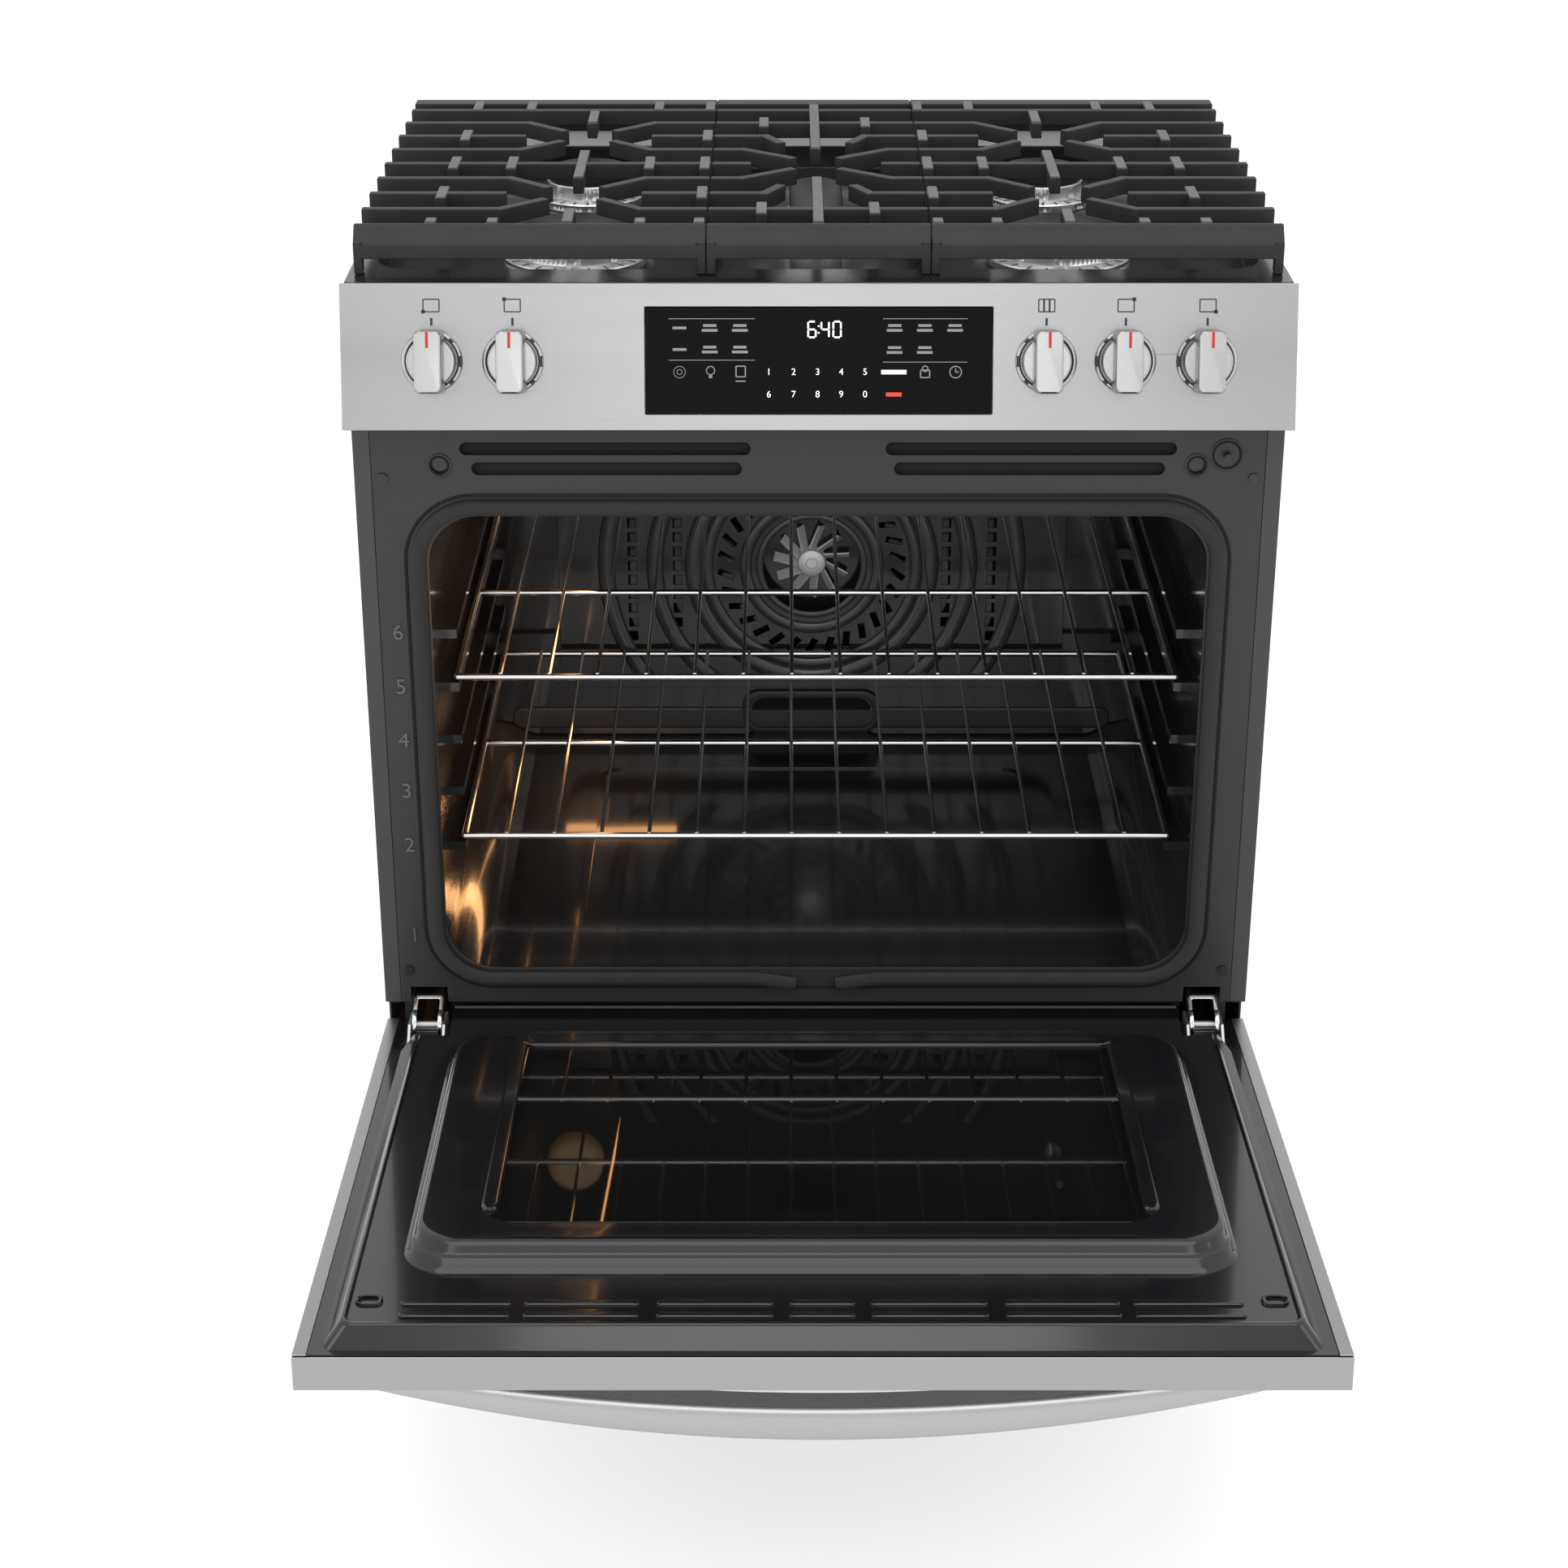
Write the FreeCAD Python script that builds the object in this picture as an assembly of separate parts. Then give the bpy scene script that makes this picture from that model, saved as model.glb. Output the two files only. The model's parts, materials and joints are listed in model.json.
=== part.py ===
import FreeCAD, Part
import math
import os

# Freestanding gas range with a front control panel, five sealed burners, three cast grates,
# a convection oven with two wire racks, a drop-down door and a storage drawer.
# Working frame: X to the right, Y to the back, Z up from the floor, and Y = 0 on the face of the
# oven's front frame. The finished pieces are moved along Y at the end, so that the origin is on
# the floor under the middle of the range with its door open.

V = FreeCAD.Vector

# ------------------------------------------------------------------ driving dimensions, in mm
# Overall
body_width = 756.0        # over the side panels
body_depth = 625.0        # front frame's face to the back panel's face
worktop_height = 914.0    # floor to the cooktop's rim
grate_rise = 39.0         # rim to the top of the grates
sheet = 2.0               # wall of pressed sheet
seat_gap = 0.3            # clearance between pieces that move apart
shaft_gap = 0.05          # radial clearance of a shaft in its hole

# Base
chassis_lift = 38.0       # floor to the underside of the chassis
rail_height = 30.0
rail_width = 30.0
foot_radius = 16.0
foot_height = 9.0
leg_radius = 5.0
leg_inset = 45.0          # from the side and from the front and back

# Front frame and oven opening
flange_width = 14.0       # side panel's front flange
frame_stile = 57.0        # opening's side to the body's side
frame_head = 83.0         # opening's top to the frame's top
frame_foot = 268.0        # floor to the frame's lower edge
opening_floor = 302.0     # floor to the opening's lower edge
opening_corner = 42.0
apron_setback = 20.0      # recessed rail that clears the door's lower edge
apron_foot = 208.0

# Oven
cavity_back = 522.0       # inner face of the oven's back wall
rib_depth = 14.0          # rack support, measured from the wall
rib_height = 8.0
rib_front = 58.0
rib_back_gap = 26.0       # rib's end to the oven's back wall
rack_side_gap = 9.0       # oven wall to the rack's side wire
rack_wire = 3.0           # radius of the heavy wires
rack_rod = 1.7            # radius of the long thin wires
rack_front = 63.0
rack_middle = 267.0
rack_rear_gap = 31.0      # rack's rear wire to the oven's back wall
rack_pitch = 41.8
rack_count = 14
rack_lifts = [15.0, 98.0, 151.0, 200.0, 249.0, 298.0]   # rack positions above the opening's floor
lower_position = 1
upper_position = 4
floor_panel_width = 436.0
floor_panel_front = 88.0
floor_panel_gap = 82.0    # floor panel to the oven's back wall
broil_gap = 52.0          # broil burner to the oven's back wall
bake_gap = 62.0           # bake burner's ends to the oven's back wall

# Convection fan
fan_height = 188.0        # opening's floor to the fan's axis
fan_cover_width = 506.0
fan_cover_height = 262.0
fan_cover_depth = 21.0
fan_mouth = 50.0
fan_radius = 39.0
fan_hub = 14.0
fan_blades = 11
fan_shaft = 4.0
fan_motor_radius = 38.0

# Door and its hinge
door_overlap = 1.0        # door's side beyond the body's side
door_foot = 222.0
door_top_gap = 5.0        # door's top to the control panel
door_thickness = 45.0
door_standoff = 9.0       # front frame to the door's inner face, which the gasket fills
door_return = 27.0        # depth of the steel skin's folded edges
hinge_y = -17.8
hinge_z = 254.83
open_angle = 86.0
hinge_x = 339.0           # middle of each hinge arm
hinge_arm_width = 26.0
hinge_pin = 4.0
plateau_height = 14.0
plateau_side = 12.0       # opening's side to the plateau's foot
window_half = 245.0
window_foot = 347.0
window_top_drop = 152.0   # door's top to the window's upper edge
pane = 4.0

# Door handle
handle_half = 349.0
handle_drop = 38.0        # door's top to the handle's middle
handle_height = 28.0
handle_reach = 59.0       # door's face to the handle's outer face, in the middle
handle_finger = 31.0      # door's face to the handle's inner face, in the middle

# Control panel
panel_height = 112.0
panel_overlap = 3.0       # panel's end beyond the body's side
panel_reach = 30.0        # how far the lower edge stands in front of the frame
panel_top_y = 1.0
panel_edge = 2.4          # depth of the top edge
display_half = 138.0
display_low = 13.5        # along the slope from the lower edge
display_high = 97.5
knob_rise = 55.0          # along the slope
knob_from_left = [73.0, 137.5]
knob_from_right = [200.0, 137.0, 72.0]
knob_push = 4.0
bezel_outer = 24.5
bezel_inner = 20.5
bezel_height = 2.5
knob_base = 19.5
knob_reach = 36.0
grip_width = 22.0
grip_length = 50.0
stem_top = 24.0           # above the panel's face
stem_foot = -26.0         # below it, inside the valve
stem_flat = 2.4           # axis to the flat
stem_radius = 4.0
manifold_rise = 18.0      # along the slope
manifold_depth = 44.0     # behind the panel's face
manifold_radius = 9.0

# Storage drawer
drawer_top = 205.0
drawer_foot = 62.0
drawer_face = 45.0        # front of the drawer's face, in front of the frame
tray_half = 340.0
tray_floor = 82.0
tray_rim = 180.0
tray_back = 530.0
tray_lip = 12.0
runner_depth = 6.0

# Cooktop
rim_width = 20.0
pan_front = 4.0
well_front = 46.0
well_back = 486.0
well_depth = 21.0
deck_back = 600.0
seam = 90.0               # middle of the range to the joint between two grates
seam_gap = 0.8
burner_from_seam = 112.0
front_burner_y = 146.0
rear_burner_y = 359.0
front_burner_radius = 60.0
rear_burner_radius = 49.0
oval_half_width = 27.0
oval_half_length = 72.0
base_height = 8.0
head_height = 13.0
cap_height = 11.0

# Grates
bar = 9.0
bar_depth = 14.0
row_pitch = 53.4
row_start = 39.0
grate_front = 27.0
grate_rear = 511.0
grate_rear_wall = 20.0
grate_side_inset = 6.0    # body's side to the grate's side
grate_rail = 12.0

# Vent trim
vent_rise = 14.0          # rim to the top of the rear vent trim
vent_slots = 9

# ------------------------------------------------------------------ places that follow from them
half_body = body_width / 2
half_panel = half_body + panel_overlap
half_door = half_body + door_overlap
opening_half = half_body - frame_stile
panel_foot = worktop_height - panel_height
frame_top = panel_foot
opening_top = frame_top - frame_head
door_top = panel_foot - door_top_gap
door_face = -(door_standoff + door_thickness)
door_inner = -door_standoff
window_top = door_top - window_top_drop
fan_z = opening_floor + fan_height
grate_top = worktop_height + grate_rise
vent_height = worktop_height + vent_rise
rib_back = cavity_back - rib_back_gap
rack_rear = cavity_back - rack_rear_gap
floor_panel_back = cavity_back - floor_panel_gap
broil_back = cavity_back - broil_gap
bake_back = cavity_back - bake_gap
grate_half = half_body - grate_side_inset
well_floor = worktop_height - well_depth
well_half = half_body - rim_width
pan_foot = worktop_height - 32.0
burner_x = seam + burner_from_seam
slope = math.degrees(math.atan2(panel_height, panel_reach + panel_top_y))
knob_places = [offset - half_panel for offset in knob_from_left]
knob_places += [half_panel - offset for offset in knob_from_right]
rows = [row_start + row_pitch * k for k in range(9)]
hinge_axis = V(0, hinge_y, hinge_z)


# ------------------------------------------------------------------ shape helpers
def box(x, y, z):
    return Part.makeBox(x[1] - x[0], y[1] - y[0], z[1] - z[0], V(x[0], y[0], z[0]))


def rod(start, end, radius):
    start = V(*start)
    run = V(*end) - start
    return Part.makeCylinder(radius, run.Length, start, run)


def ring(centre, axis, outer, inner, length):
    start = V(*centre)
    end = start + V(*axis) * length
    body = rod(start, end, outer)
    return body.cut(rod(start - V(*axis), end + V(*axis), inner))


def join(shapes):
    return shapes[0].fuse(shapes[1:]).removeSplitter()


def cut(shape, tools):
    return shape.cut(tools)


def group(shapes):
    return Part.makeCompound(shapes)


def outline(points):
    return Part.Face(Part.makePolygon([V(*p) for p in points] + [V(*points[0])]))


def prism_x(points, x):
    face = outline([(x[0], y, z) for y, z in points])
    return face.extrude(V(x[1] - x[0], 0, 0))


def round_along_y(x, z, radius, y):
    """A plate with round corners that faces along Y."""
    plate = box(x, y, z)
    edges = [e for e in plate.Edges if abs(e.tangentAt(e.FirstParameter).y) > 0.99]
    return plate.makeFillet(radius, edges)


def round_along_z(x, y, radius, z):
    """A plate with round corners that lies flat."""
    plate = box(x, y, z)
    edges = [e for e in plate.Edges if abs(e.tangentAt(e.FirstParameter).z) > 0.99]
    return plate.makeFillet(radius, edges)


def slot_along_y(x, z, height, y):
    """A long hole with round ends, cut along Y."""
    radius = height / 2
    middle = box((x[0] + radius, x[1] - radius), y, (z - radius, z + radius))
    ends = [rod((e, y[0], z), (e, y[1], z), radius) for e in (x[0] + radius, x[1] - radius)]
    return join([middle] + ends)


def mirrored(shape):
    return shape.mirror(V(0, 0, 0), V(1, 0, 0))


def both_sides(shape):
    return [shape, mirrored(shape)]


def pipe(points, radius):
    """A round pipe along straight runs, with a ball in each bend."""
    runs = [rod(a, b, radius) for a, b in zip(points, points[1:])]
    bends = [Part.makeSphere(radius, V(*p)) for p in points[1:-1]]
    return join(runs + bends)


def on_panel(shape):
    """Moves a shape from the panel's own frame: X along it, Y up its slope, Z out of its face."""
    moved = shape.copy()
    turn = FreeCAD.Rotation(V(1, 0, 0), slope)
    moved.Placement = FreeCAD.Placement(V(0, -panel_reach, panel_foot), turn)
    return moved


def opened(shape):
    """Swings a door piece from its closed place to the open place where it rests."""
    moved = shape.copy()
    moved.rotate(hinge_axis, V(1, 0, 0), open_angle)
    return moved


def frustum_y(low, high):
    """A tapered block between two rectangles ((x, x), (z, z), y), each across the Y axis."""
    wires = []
    for x, z, y in (low, high):
        corners = [(x[0], y, z[0]), (x[1], y, z[0]), (x[1], y, z[1]), (x[0], y, z[1])]
        wires.append(Part.makePolygon([V(*c) for c in corners + corners[:1]]))
    return Part.makeLoft(wires, True, True)


# ------------------------------------------------------------------ base and body
def leg_places():
    xs = (leg_inset - half_body, half_body - leg_inset)
    ys = (leg_inset, body_depth - leg_inset)
    return [(x, y) for x in xs for y in ys]


def leveling_legs():
    legs = []
    for x, y in leg_places():
        foot = rod((x, y, 0), (x, y, foot_height), foot_radius)
        stem = rod((x, y, foot_height), (x, y, chassis_lift + rail_height - 4), leg_radius)
        nut = rod((x, y, chassis_lift - 8), (x, y, chassis_lift), leg_radius + 4)
        legs.append(join([foot, stem, nut]))
    return group(legs)


def base_frame():
    side = half_body - sheet
    front = apron_setback + 4
    back = body_depth - sheet
    z = (chassis_lift, chassis_lift + rail_height)
    rails = [box((side - rail_width * 2, side), (front, back), z)]
    rails.append(mirrored(rails[0]))
    rails.append(box((-side, side), (front, front + rail_width), z))
    rails.append(box((-side, side), (back - rail_width, back), z))
    holes = [rod((x, y, 0), (x, y, z[1] + 1), leg_radius + shaft_gap) for x, y in leg_places()]
    return cut(join(rails), holes)


def side_panel():
    x = (half_body - sheet, half_body)
    wall = box(x, (0, body_depth), (chassis_lift, pan_foot))
    front = box((half_body - flange_width, half_body), (0, sheet), (chassis_lift, frame_top))
    back = box((half_body - flange_width, half_body), (body_depth - sheet, body_depth),
               (chassis_lift, pan_foot))
    recess = box((0, half_body + 1), (-1, apron_setback), (drawer_top - 5, frame_foot))
    behind_panel = box((0, half_body + 1), (-1, pan_front), (frame_top, pan_foot + 1))
    return cut(join([wall, front, back]), [recess, behind_panel])


def gas_inlet_place():
    return 180.0, 110.0


def power_inlet_place():
    return -220.0, 110.0


def back_panel():
    x = half_body - flange_width - seat_gap
    y = (body_depth - sheet, body_depth)
    plate = box((-x, x), y, (chassis_lift + rail_height, pan_foot))
    reach = (y[0] - 1, y[1] + 1)
    holes = []
    for row in range(4):
        z = 760 + 24 * row
        for middle in (-210, 0, 210):
            holes.append(slot_along_y((middle - 60, middle + 60), z, 8, reach))
    gas_x, gas_z = gas_inlet_place()
    power_x, power_z = power_inlet_place()
    holes.append(rod((gas_x, reach[0], gas_z), (gas_x, reach[1], gas_z), 30))
    holes.append(rod((power_x, reach[0], power_z), (power_x, reach[1], power_z), 12 + shaft_gap))
    return cut(plate, holes)


def power_inlet():
    """Bushing in the back panel that the supply cord enters, with its terminal box."""
    x, z = power_inlet_place()
    flange = rod((x, body_depth, z), (x, body_depth + 4, z), 17)
    barrel = rod((x, body_depth - 20, z), (x, body_depth, z), 12)
    case = box((x - 35, x + 35), (body_depth - 45, body_depth - 20), (z - 30, z + 30))
    bore = rod((x, body_depth - 30, z), (x, body_depth + 5, z), 6)
    return cut(join([flange, barrel, case]), [bore])


def hinge_window(margin, y, z):
    x = (hinge_x - hinge_arm_width / 2 - margin, hinge_x + hinge_arm_width / 2 + margin)
    return both_sides(box(x, y, z))


def switch_place():
    return opening_half + 11.0, frame_top - 30.0


def screw_places():
    """Countersunk pairs in the round pockets and small screws near the frame's corners."""
    pocket = (opening_half - 13, frame_top - 39)
    upper = (half_body - 23, frame_top - 50)
    lower = (half_body - 22, opening_floor - 2)
    return [pocket, upper, lower]


def front_frame():
    half = half_body - flange_width - 0.2
    plate = box((-half, half), (0, sheet), (frame_foot, frame_top))
    shelf = box((-half, half), (0, apron_setback + sheet), (frame_foot, frame_foot + sheet))
    apron = box((-half, half), (apron_setback, apron_setback + sheet),
                (apron_foot, frame_foot + sheet))
    frame = join([plate, shelf, apron])
    y = (-1, sheet + 1)
    tools = [round_along_y((-opening_half, opening_half), (opening_floor, opening_top),
                           opening_corner, y)]
    for low, high, z in ((55, opening_half - 30, frame_top - 25),
                         (62, opening_half - 39, frame_top - 42)):
        tools += both_sides(slot_along_y((low, high), z, 10.5, y))
    pocket_x, pocket_z = screw_places()[0]
    for x in (pocket_x, -pocket_x):
        tools.append(rod((x, -1, pocket_z), (x, sheet + 1, pocket_z), 9))
    switch_x, switch_z = switch_place()
    tools.append(rod((switch_x, -1, switch_z), (switch_x, sheet + 1, switch_z), 13))
    tools += hinge_window(3, (-1, apron_setback + 3), (236, 283))
    return cut(frame, tools)


def panel_screws():
    screws = []
    for number, (x, z) in enumerate(screw_places()):
        seat = 4.0 if number == 0 else 0.0
        radius = 8.0 if number == 0 else 4.4
        head = rod((x, seat - 1.8, z), (x, seat, z), radius)
        if number == 0:
            shank = rod((x, seat, z), (x, seat + 10, z), 2.5)
            strip = box((x - 10, x + 10), (sheet, seat), (z - 12, z + 12))
            head = join([head, shank, strip])
        screws += both_sides(head)
    return group(screws)


def door_gasket():
    """Woven seal round the opening, split at the middle of its lower run."""
    width = 13.0
    gap = 2.0
    y = (-(door_standoff - seat_gap), 0)
    inner = round_along_y((-opening_half - gap, opening_half + gap),
                          (opening_floor - gap, opening_top + gap), opening_corner, (-20, 5))
    edge = opening_half + gap + width
    outer = round_along_y((-edge, edge), (opening_floor - gap - width, opening_top + gap + width),
                          opening_corner + width, y)
    split = box((-13, 14), (-20, 5), (opening_floor - 30, opening_floor + 5))
    return cut(outer, [inner, split])


# ------------------------------------------------------------------ oven
def oven_walls(grow, y):
    x = (-opening_half - grow, opening_half + grow)
    z = (opening_floor - grow, opening_top + grow)
    return round_along_y(x, z, opening_corner + grow, y)


def lamp_place():
    return -opening_half + 70.0, opening_top - 62.0


def probe_place():
    return opening_half - 60.0, opening_top - 70.0


def oven_liner():
    shell = oven_walls(sheet, (sheet, cavity_back + sheet))
    shell = cut(shell, [oven_walls(0, (0, cavity_back))])
    ribs = []
    for lift in rack_lifts:
        top = opening_floor + lift - rack_wire - seat_gap
        x = (opening_half - rib_depth, opening_half + sheet / 2)
        if lift < opening_corner:
            continue
        ribs += both_sides(box(x, (rib_front, rib_back), (top - rib_height, top)))
    shell = join([shell] + ribs)
    half = floor_panel_width / 2 - 10
    hatch = round_along_z((-half, half), (floor_panel_front + 10, floor_panel_back - 10), 20,
                          (opening_floor - 3, opening_floor + 1))
    wall = (cavity_back - 1, cavity_back + sheet + 1)
    shaft = rod((0, wall[0], fan_z), (0, wall[1], fan_z), fan_shaft + 3)
    lamp_x, lamp_z = lamp_place()
    lamp = rod((lamp_x, wall[0], lamp_z), (lamp_x, wall[1], lamp_z), 20 + shaft_gap)
    probe_x, probe_z = probe_place()
    probe = rod((probe_x, wall[0], probe_z), (probe_x, wall[1], probe_z), 4 + shaft_gap)
    return cut(shell, [hatch, shaft, lamp, probe])


def oven_floor_panel():
    half = floor_panel_width / 2
    top = opening_floor - sheet
    plate = round_along_z((-half, half), (floor_panel_front, floor_panel_back), 24,
                          (top - 1.5, top))
    return plate


def slanted_slots(radius, count, width, length, y):
    slots = []
    for k in range(count):
        hole = box((-width / 2, width / 2), y, (radius - length / 2, radius + length / 2))
        hole.rotate(V(0, 0, radius), V(0, 1, 0), 28)
        hole.rotate(V(0, 0, 0), V(0, 1, 0), 360.0 * k / count)
        hole.translate(V(0, 0, fan_z))
        slots.append(hole)
    return slots


def fan_cover():
    x = (-fan_cover_width / 2, fan_cover_width / 2)
    z = (fan_z - fan_cover_height / 2, fan_z + fan_cover_height / 2)
    y = (cavity_back - fan_cover_depth, cavity_back)
    cover = round_along_y(x, z, 30, y)
    inside = round_along_y((x[0] + sheet, x[1] - sheet), (z[0] + sheet, z[1] - sheet), 28,
                           (y[0] + sheet, y[1] + 1))
    through = (y[0] - 1, y[0] + sheet + 1)
    mouth = rod((0, through[0], fan_z), (0, through[1], fan_z), fan_mouth)
    slots = slanted_slots(86, 30, 6, 16, through)
    sides = []
    for shift in (134, 179):
        for step in range(-5, 6):
            hole = box((shift - 4, shift + 4), through, (fan_z + 15 * step - 5, fan_z + 15 * step + 5))
            sides += both_sides(hole)
    return cut(cover, [inside, mouth] + slots + sides)


def convection_fan():
    front = cavity_back - fan_cover_depth + sheet + 4
    back = cavity_back - 3
    plate = ring((0, back - 2, fan_z), (0, 1, 0), 34, fan_shaft - 1, 2)
    hub = rod((0, front, fan_z), (0, back, fan_z), fan_hub)
    shaft = rod((0, back - 2, fan_z), (0, cavity_back + 14, fan_z), fan_shaft)
    blades = []
    for k in range(fan_blades):
        blade = box((-0.8, 0.8), (front, back), (fan_hub - 2, fan_radius))
        blade.rotate(V(0, 0, fan_hub), V(0, 1, 0), 24)
        blade.rotate(V(0, 0, 0), V(0, 1, 0), 360.0 * k / fan_blades)
        blade.translate(V(0, 0, fan_z))
        blades.append(blade)
    return join([plate, hub, shaft] + blades)


def fan_motor():
    y = cavity_back + sheet
    plate = box((-30, 30), (y, y + 2), (fan_z - 30, fan_z + 30))
    case = rod((0, y + 2, fan_z), (0, y + 62, fan_z), fan_motor_radius)
    bore = rod((0, y - 1, fan_z), (0, y + 40, fan_z), fan_shaft + shaft_gap)
    return cut(join([plate, case]), [bore])


def oven_lamp():
    x, z = lamp_place()
    y = cavity_back
    socket = rod((x, y, z), (x, y + 30, z), 20)
    collar = rod((x, y + sheet, z), (x, y + sheet + 3, z), 27)
    bulb = Part.makeSphere(11, V(x, y - 6, z))
    return join([socket, collar, bulb])


def lamp_lens():
    x, z = lamp_place()
    y = cavity_back
    dome = rod((x, y - 26, z), (x, y, z), 30)
    dome = dome.makeFillet(12, [e for e in dome.Edges if e.BoundBox.YMax < y - 25])
    return cut(dome, [rod((x, y - 22, z), (x, y + 1, z), 25)])


def temperature_probe():
    x, z = probe_place()
    y = cavity_back
    return join([rod((x, y - 90, z), (x, y + 20, z), 4), rod((x, y - 2, z), (x, y, z), 9)])


def broil_burner():
    top = opening_top
    body = box((-45, 45), (70, broil_back), (top - 24, top - 8))
    hangers = [box((-30, 30), (y, y + 14), (top - 8, top)) for y in (110, broil_back - 50)]
    return join([body] + hangers)


def bake_burner():
    z = opening_floor - 14.0
    points = [(-120, bake_back, z), (-120, 110, z), (120, 110, z), (120, bake_back, z)]
    tube = pipe(points, 8)
    tabs = [box((x - 6, x + 6), (y, y + 12), (z, opening_floor - sheet))
            for x in (-120, 120) for y in (bake_back - 13,)]
    return join([tube] + tabs)


def insulation_blanket():
    wrap = 20.0
    y = (sheet + 30, cavity_back + sheet)
    outer = oven_walls(sheet + wrap, y)
    inner = oven_walls(sheet + 0.2, (y[0] - 1, y[1] + 1))
    below = box((-half_body, half_body), (0, body_depth), (0, opening_floor + 12))
    return cut(outer, [inner, below])


def oven_rack(position):
    z = opening_floor + rack_lifts[position]
    half = opening_half - rack_side_gap
    side = half - rack_wire
    cross = [rod((-side, y, z), (side, y, z), rack_wire)
             for y in (rack_front, rack_middle, rack_rear)]
    sides = [rod((x, rack_front, z), (x, rack_rear, z), rack_wire) for x in (-side, side)]
    corners = [Part.makeSphere(rack_wire, V(x, y, z))
               for x in (-side, side) for y in (rack_front, rack_rear)]
    wires = []
    for k in range(rack_count):
        x = (k - (rack_count - 1) / 2) * rack_pitch
        wires.append(rod((x, rack_front, z + 2.2), (x, rack_rear, z + 2.2), rack_rod))
    return join(cross + sides + corners + wires)


# ------------------------------------------------------------------ door
def door_skin():
    x = (-half_door, half_door)
    outer = box(x, (door_face, door_face + door_return), (door_foot, door_top))
    outer = outer.makeFillet(10, [e for e in outer.Edges if e.BoundBox.ZMax < door_foot + 1
                                  and e.BoundBox.YMax < door_face + 1])
    inner = box((x[0] + sheet, x[1] - sheet), (door_face + sheet, door_inner),
                (door_foot + sheet, door_top - sheet))
    inner = inner.makeFillet(8, [e for e in inner.Edges if e.BoundBox.ZMax < door_foot + 3
                                 and e.BoundBox.YMax < door_face + 3])
    window = round_along_y((-window_half + 12, window_half - 12),
                           (window_foot + 10, window_top - 10), 12, (door_face - 1, door_face + 5))
    tools = [inner, window]
    tools += hinge_window(4, (door_face + 16, 0), (door_foot - 1, door_foot + 6))
    return cut(outer, tools)


def door_outer_glass():
    y = door_face + sheet + 0.2
    return box((-window_half, window_half), (y, y + pane), (window_foot - 4, window_top + 4))


def door_inner_glass():
    y = door_inner + plateau_height - sheet - 0.2
    return box((-window_half - 8, window_half + 8), (y - pane, y), (window_foot - 8, window_top + 8))


def liner_levels(inset):
    """The liner's foot, rim and plateau rectangles, drawn in from the outside by a wall."""
    foot_y = door_face + door_return
    foot = ((-half_door + 19 + inset, half_door - 19 - inset),
            (door_foot + 3 + inset, door_top - 8 - inset))
    rim = ((-half_door + 34 + inset, half_door - 34 - inset),
           (door_foot + 8 + inset, door_top - 17 - inset))
    plateau_x = opening_half - plateau_side
    low = ((-plateau_x + inset, plateau_x - inset),
           (opening_floor + 12 + inset, opening_top - 18 - inset))
    high = ((-plateau_x + 7 + inset, plateau_x - 7 - inset),
            (opening_floor + 17 + inset, opening_top - 40 - inset))
    return foot_y, foot, rim, low, high


def liner_block(inset, sink):
    foot_y, foot, rim, low, high = liner_levels(inset)
    top = door_inner - sink
    lower = frustum_y((foot[0], foot[1], foot_y - 2 * sink), (rim[0], rim[1], top))
    upper = frustum_y((low[0], low[1], top - 1), (high[0], high[1], top + plateau_height))
    return join([lower, upper])


def door_liner():
    pan = cut(liner_block(0, 0), [liner_block(sheet, sheet)])
    foot_y = door_face + door_return
    side = half_door - sheet - 0.2
    ledge = box((-side, side), (foot_y, foot_y + sheet), (door_foot + sheet + 0.2, door_top - sheet - 0.2))
    foot = liner_levels(sheet)[1]
    ledge = cut(ledge, [box(foot[0], (foot_y - 1, foot_y + 5), foot[1])])
    face = door_inner + plateau_height
    rise = (face - 1, face + 3)
    frame = [box((-250, 250), rise, (window_foot - 27, window_foot + 1))]
    frame += both_sides(box((window_half, window_half + 12), rise, (window_foot - 1, window_top - 7)))
    liner = join([pan, ledge] + frame)
    tools = [box((-window_half, window_half), (face - 5, face + 5), (window_foot, window_top))]
    through = (door_inner - 4, door_inner + 1)
    vent_z = door_top - 37
    for low, high in ((0, 24), (35, 120), (132, 216), (225, 306)):
        x = (-high if low == 0 else low, high)
        slots = [slot_along_y(x, z, 8, through) for z in (vent_z - 9, vent_z + 9)]
        tools += slots if low == 0 else [s for one in slots for s in both_sides(one)]
    tools += both_sides(slot_along_y((331, 343), door_top - 51, 8, through))
    tools += hinge_window(4, (door_face + 16, 0), (door_foot - 1, hinge_z + 30))
    return cut(liner, tools)


def door_hinge_channels():
    inner = hinge_x - hinge_arm_width / 2
    outer = hinge_x + hinge_arm_width / 2
    skin = door_face + sheet
    side = [(skin, hinge_z - 14), (hinge_y + 7, hinge_z - 14), (hinge_y + 7, hinge_z + 14),
            (skin + 22, hinge_z + 34), (skin + 22, hinge_z + 150), (skin, hinge_z + 150)]
    plates = [prism_x(side, (inner - 3.2, inner - 0.7)), prism_x(side, (outer + 0.7, outer + 3.2))]
    web = box((inner - 3.2, outer + 3.2), (skin, skin + 2), (hinge_z - 14, hinge_z + 150))
    pin = rod((inner - 3.2, hinge_y, hinge_z), (outer + 3.2, hinge_y, hinge_z), hinge_pin)
    return group(both_sides(join(plates + [web, pin])))


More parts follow.
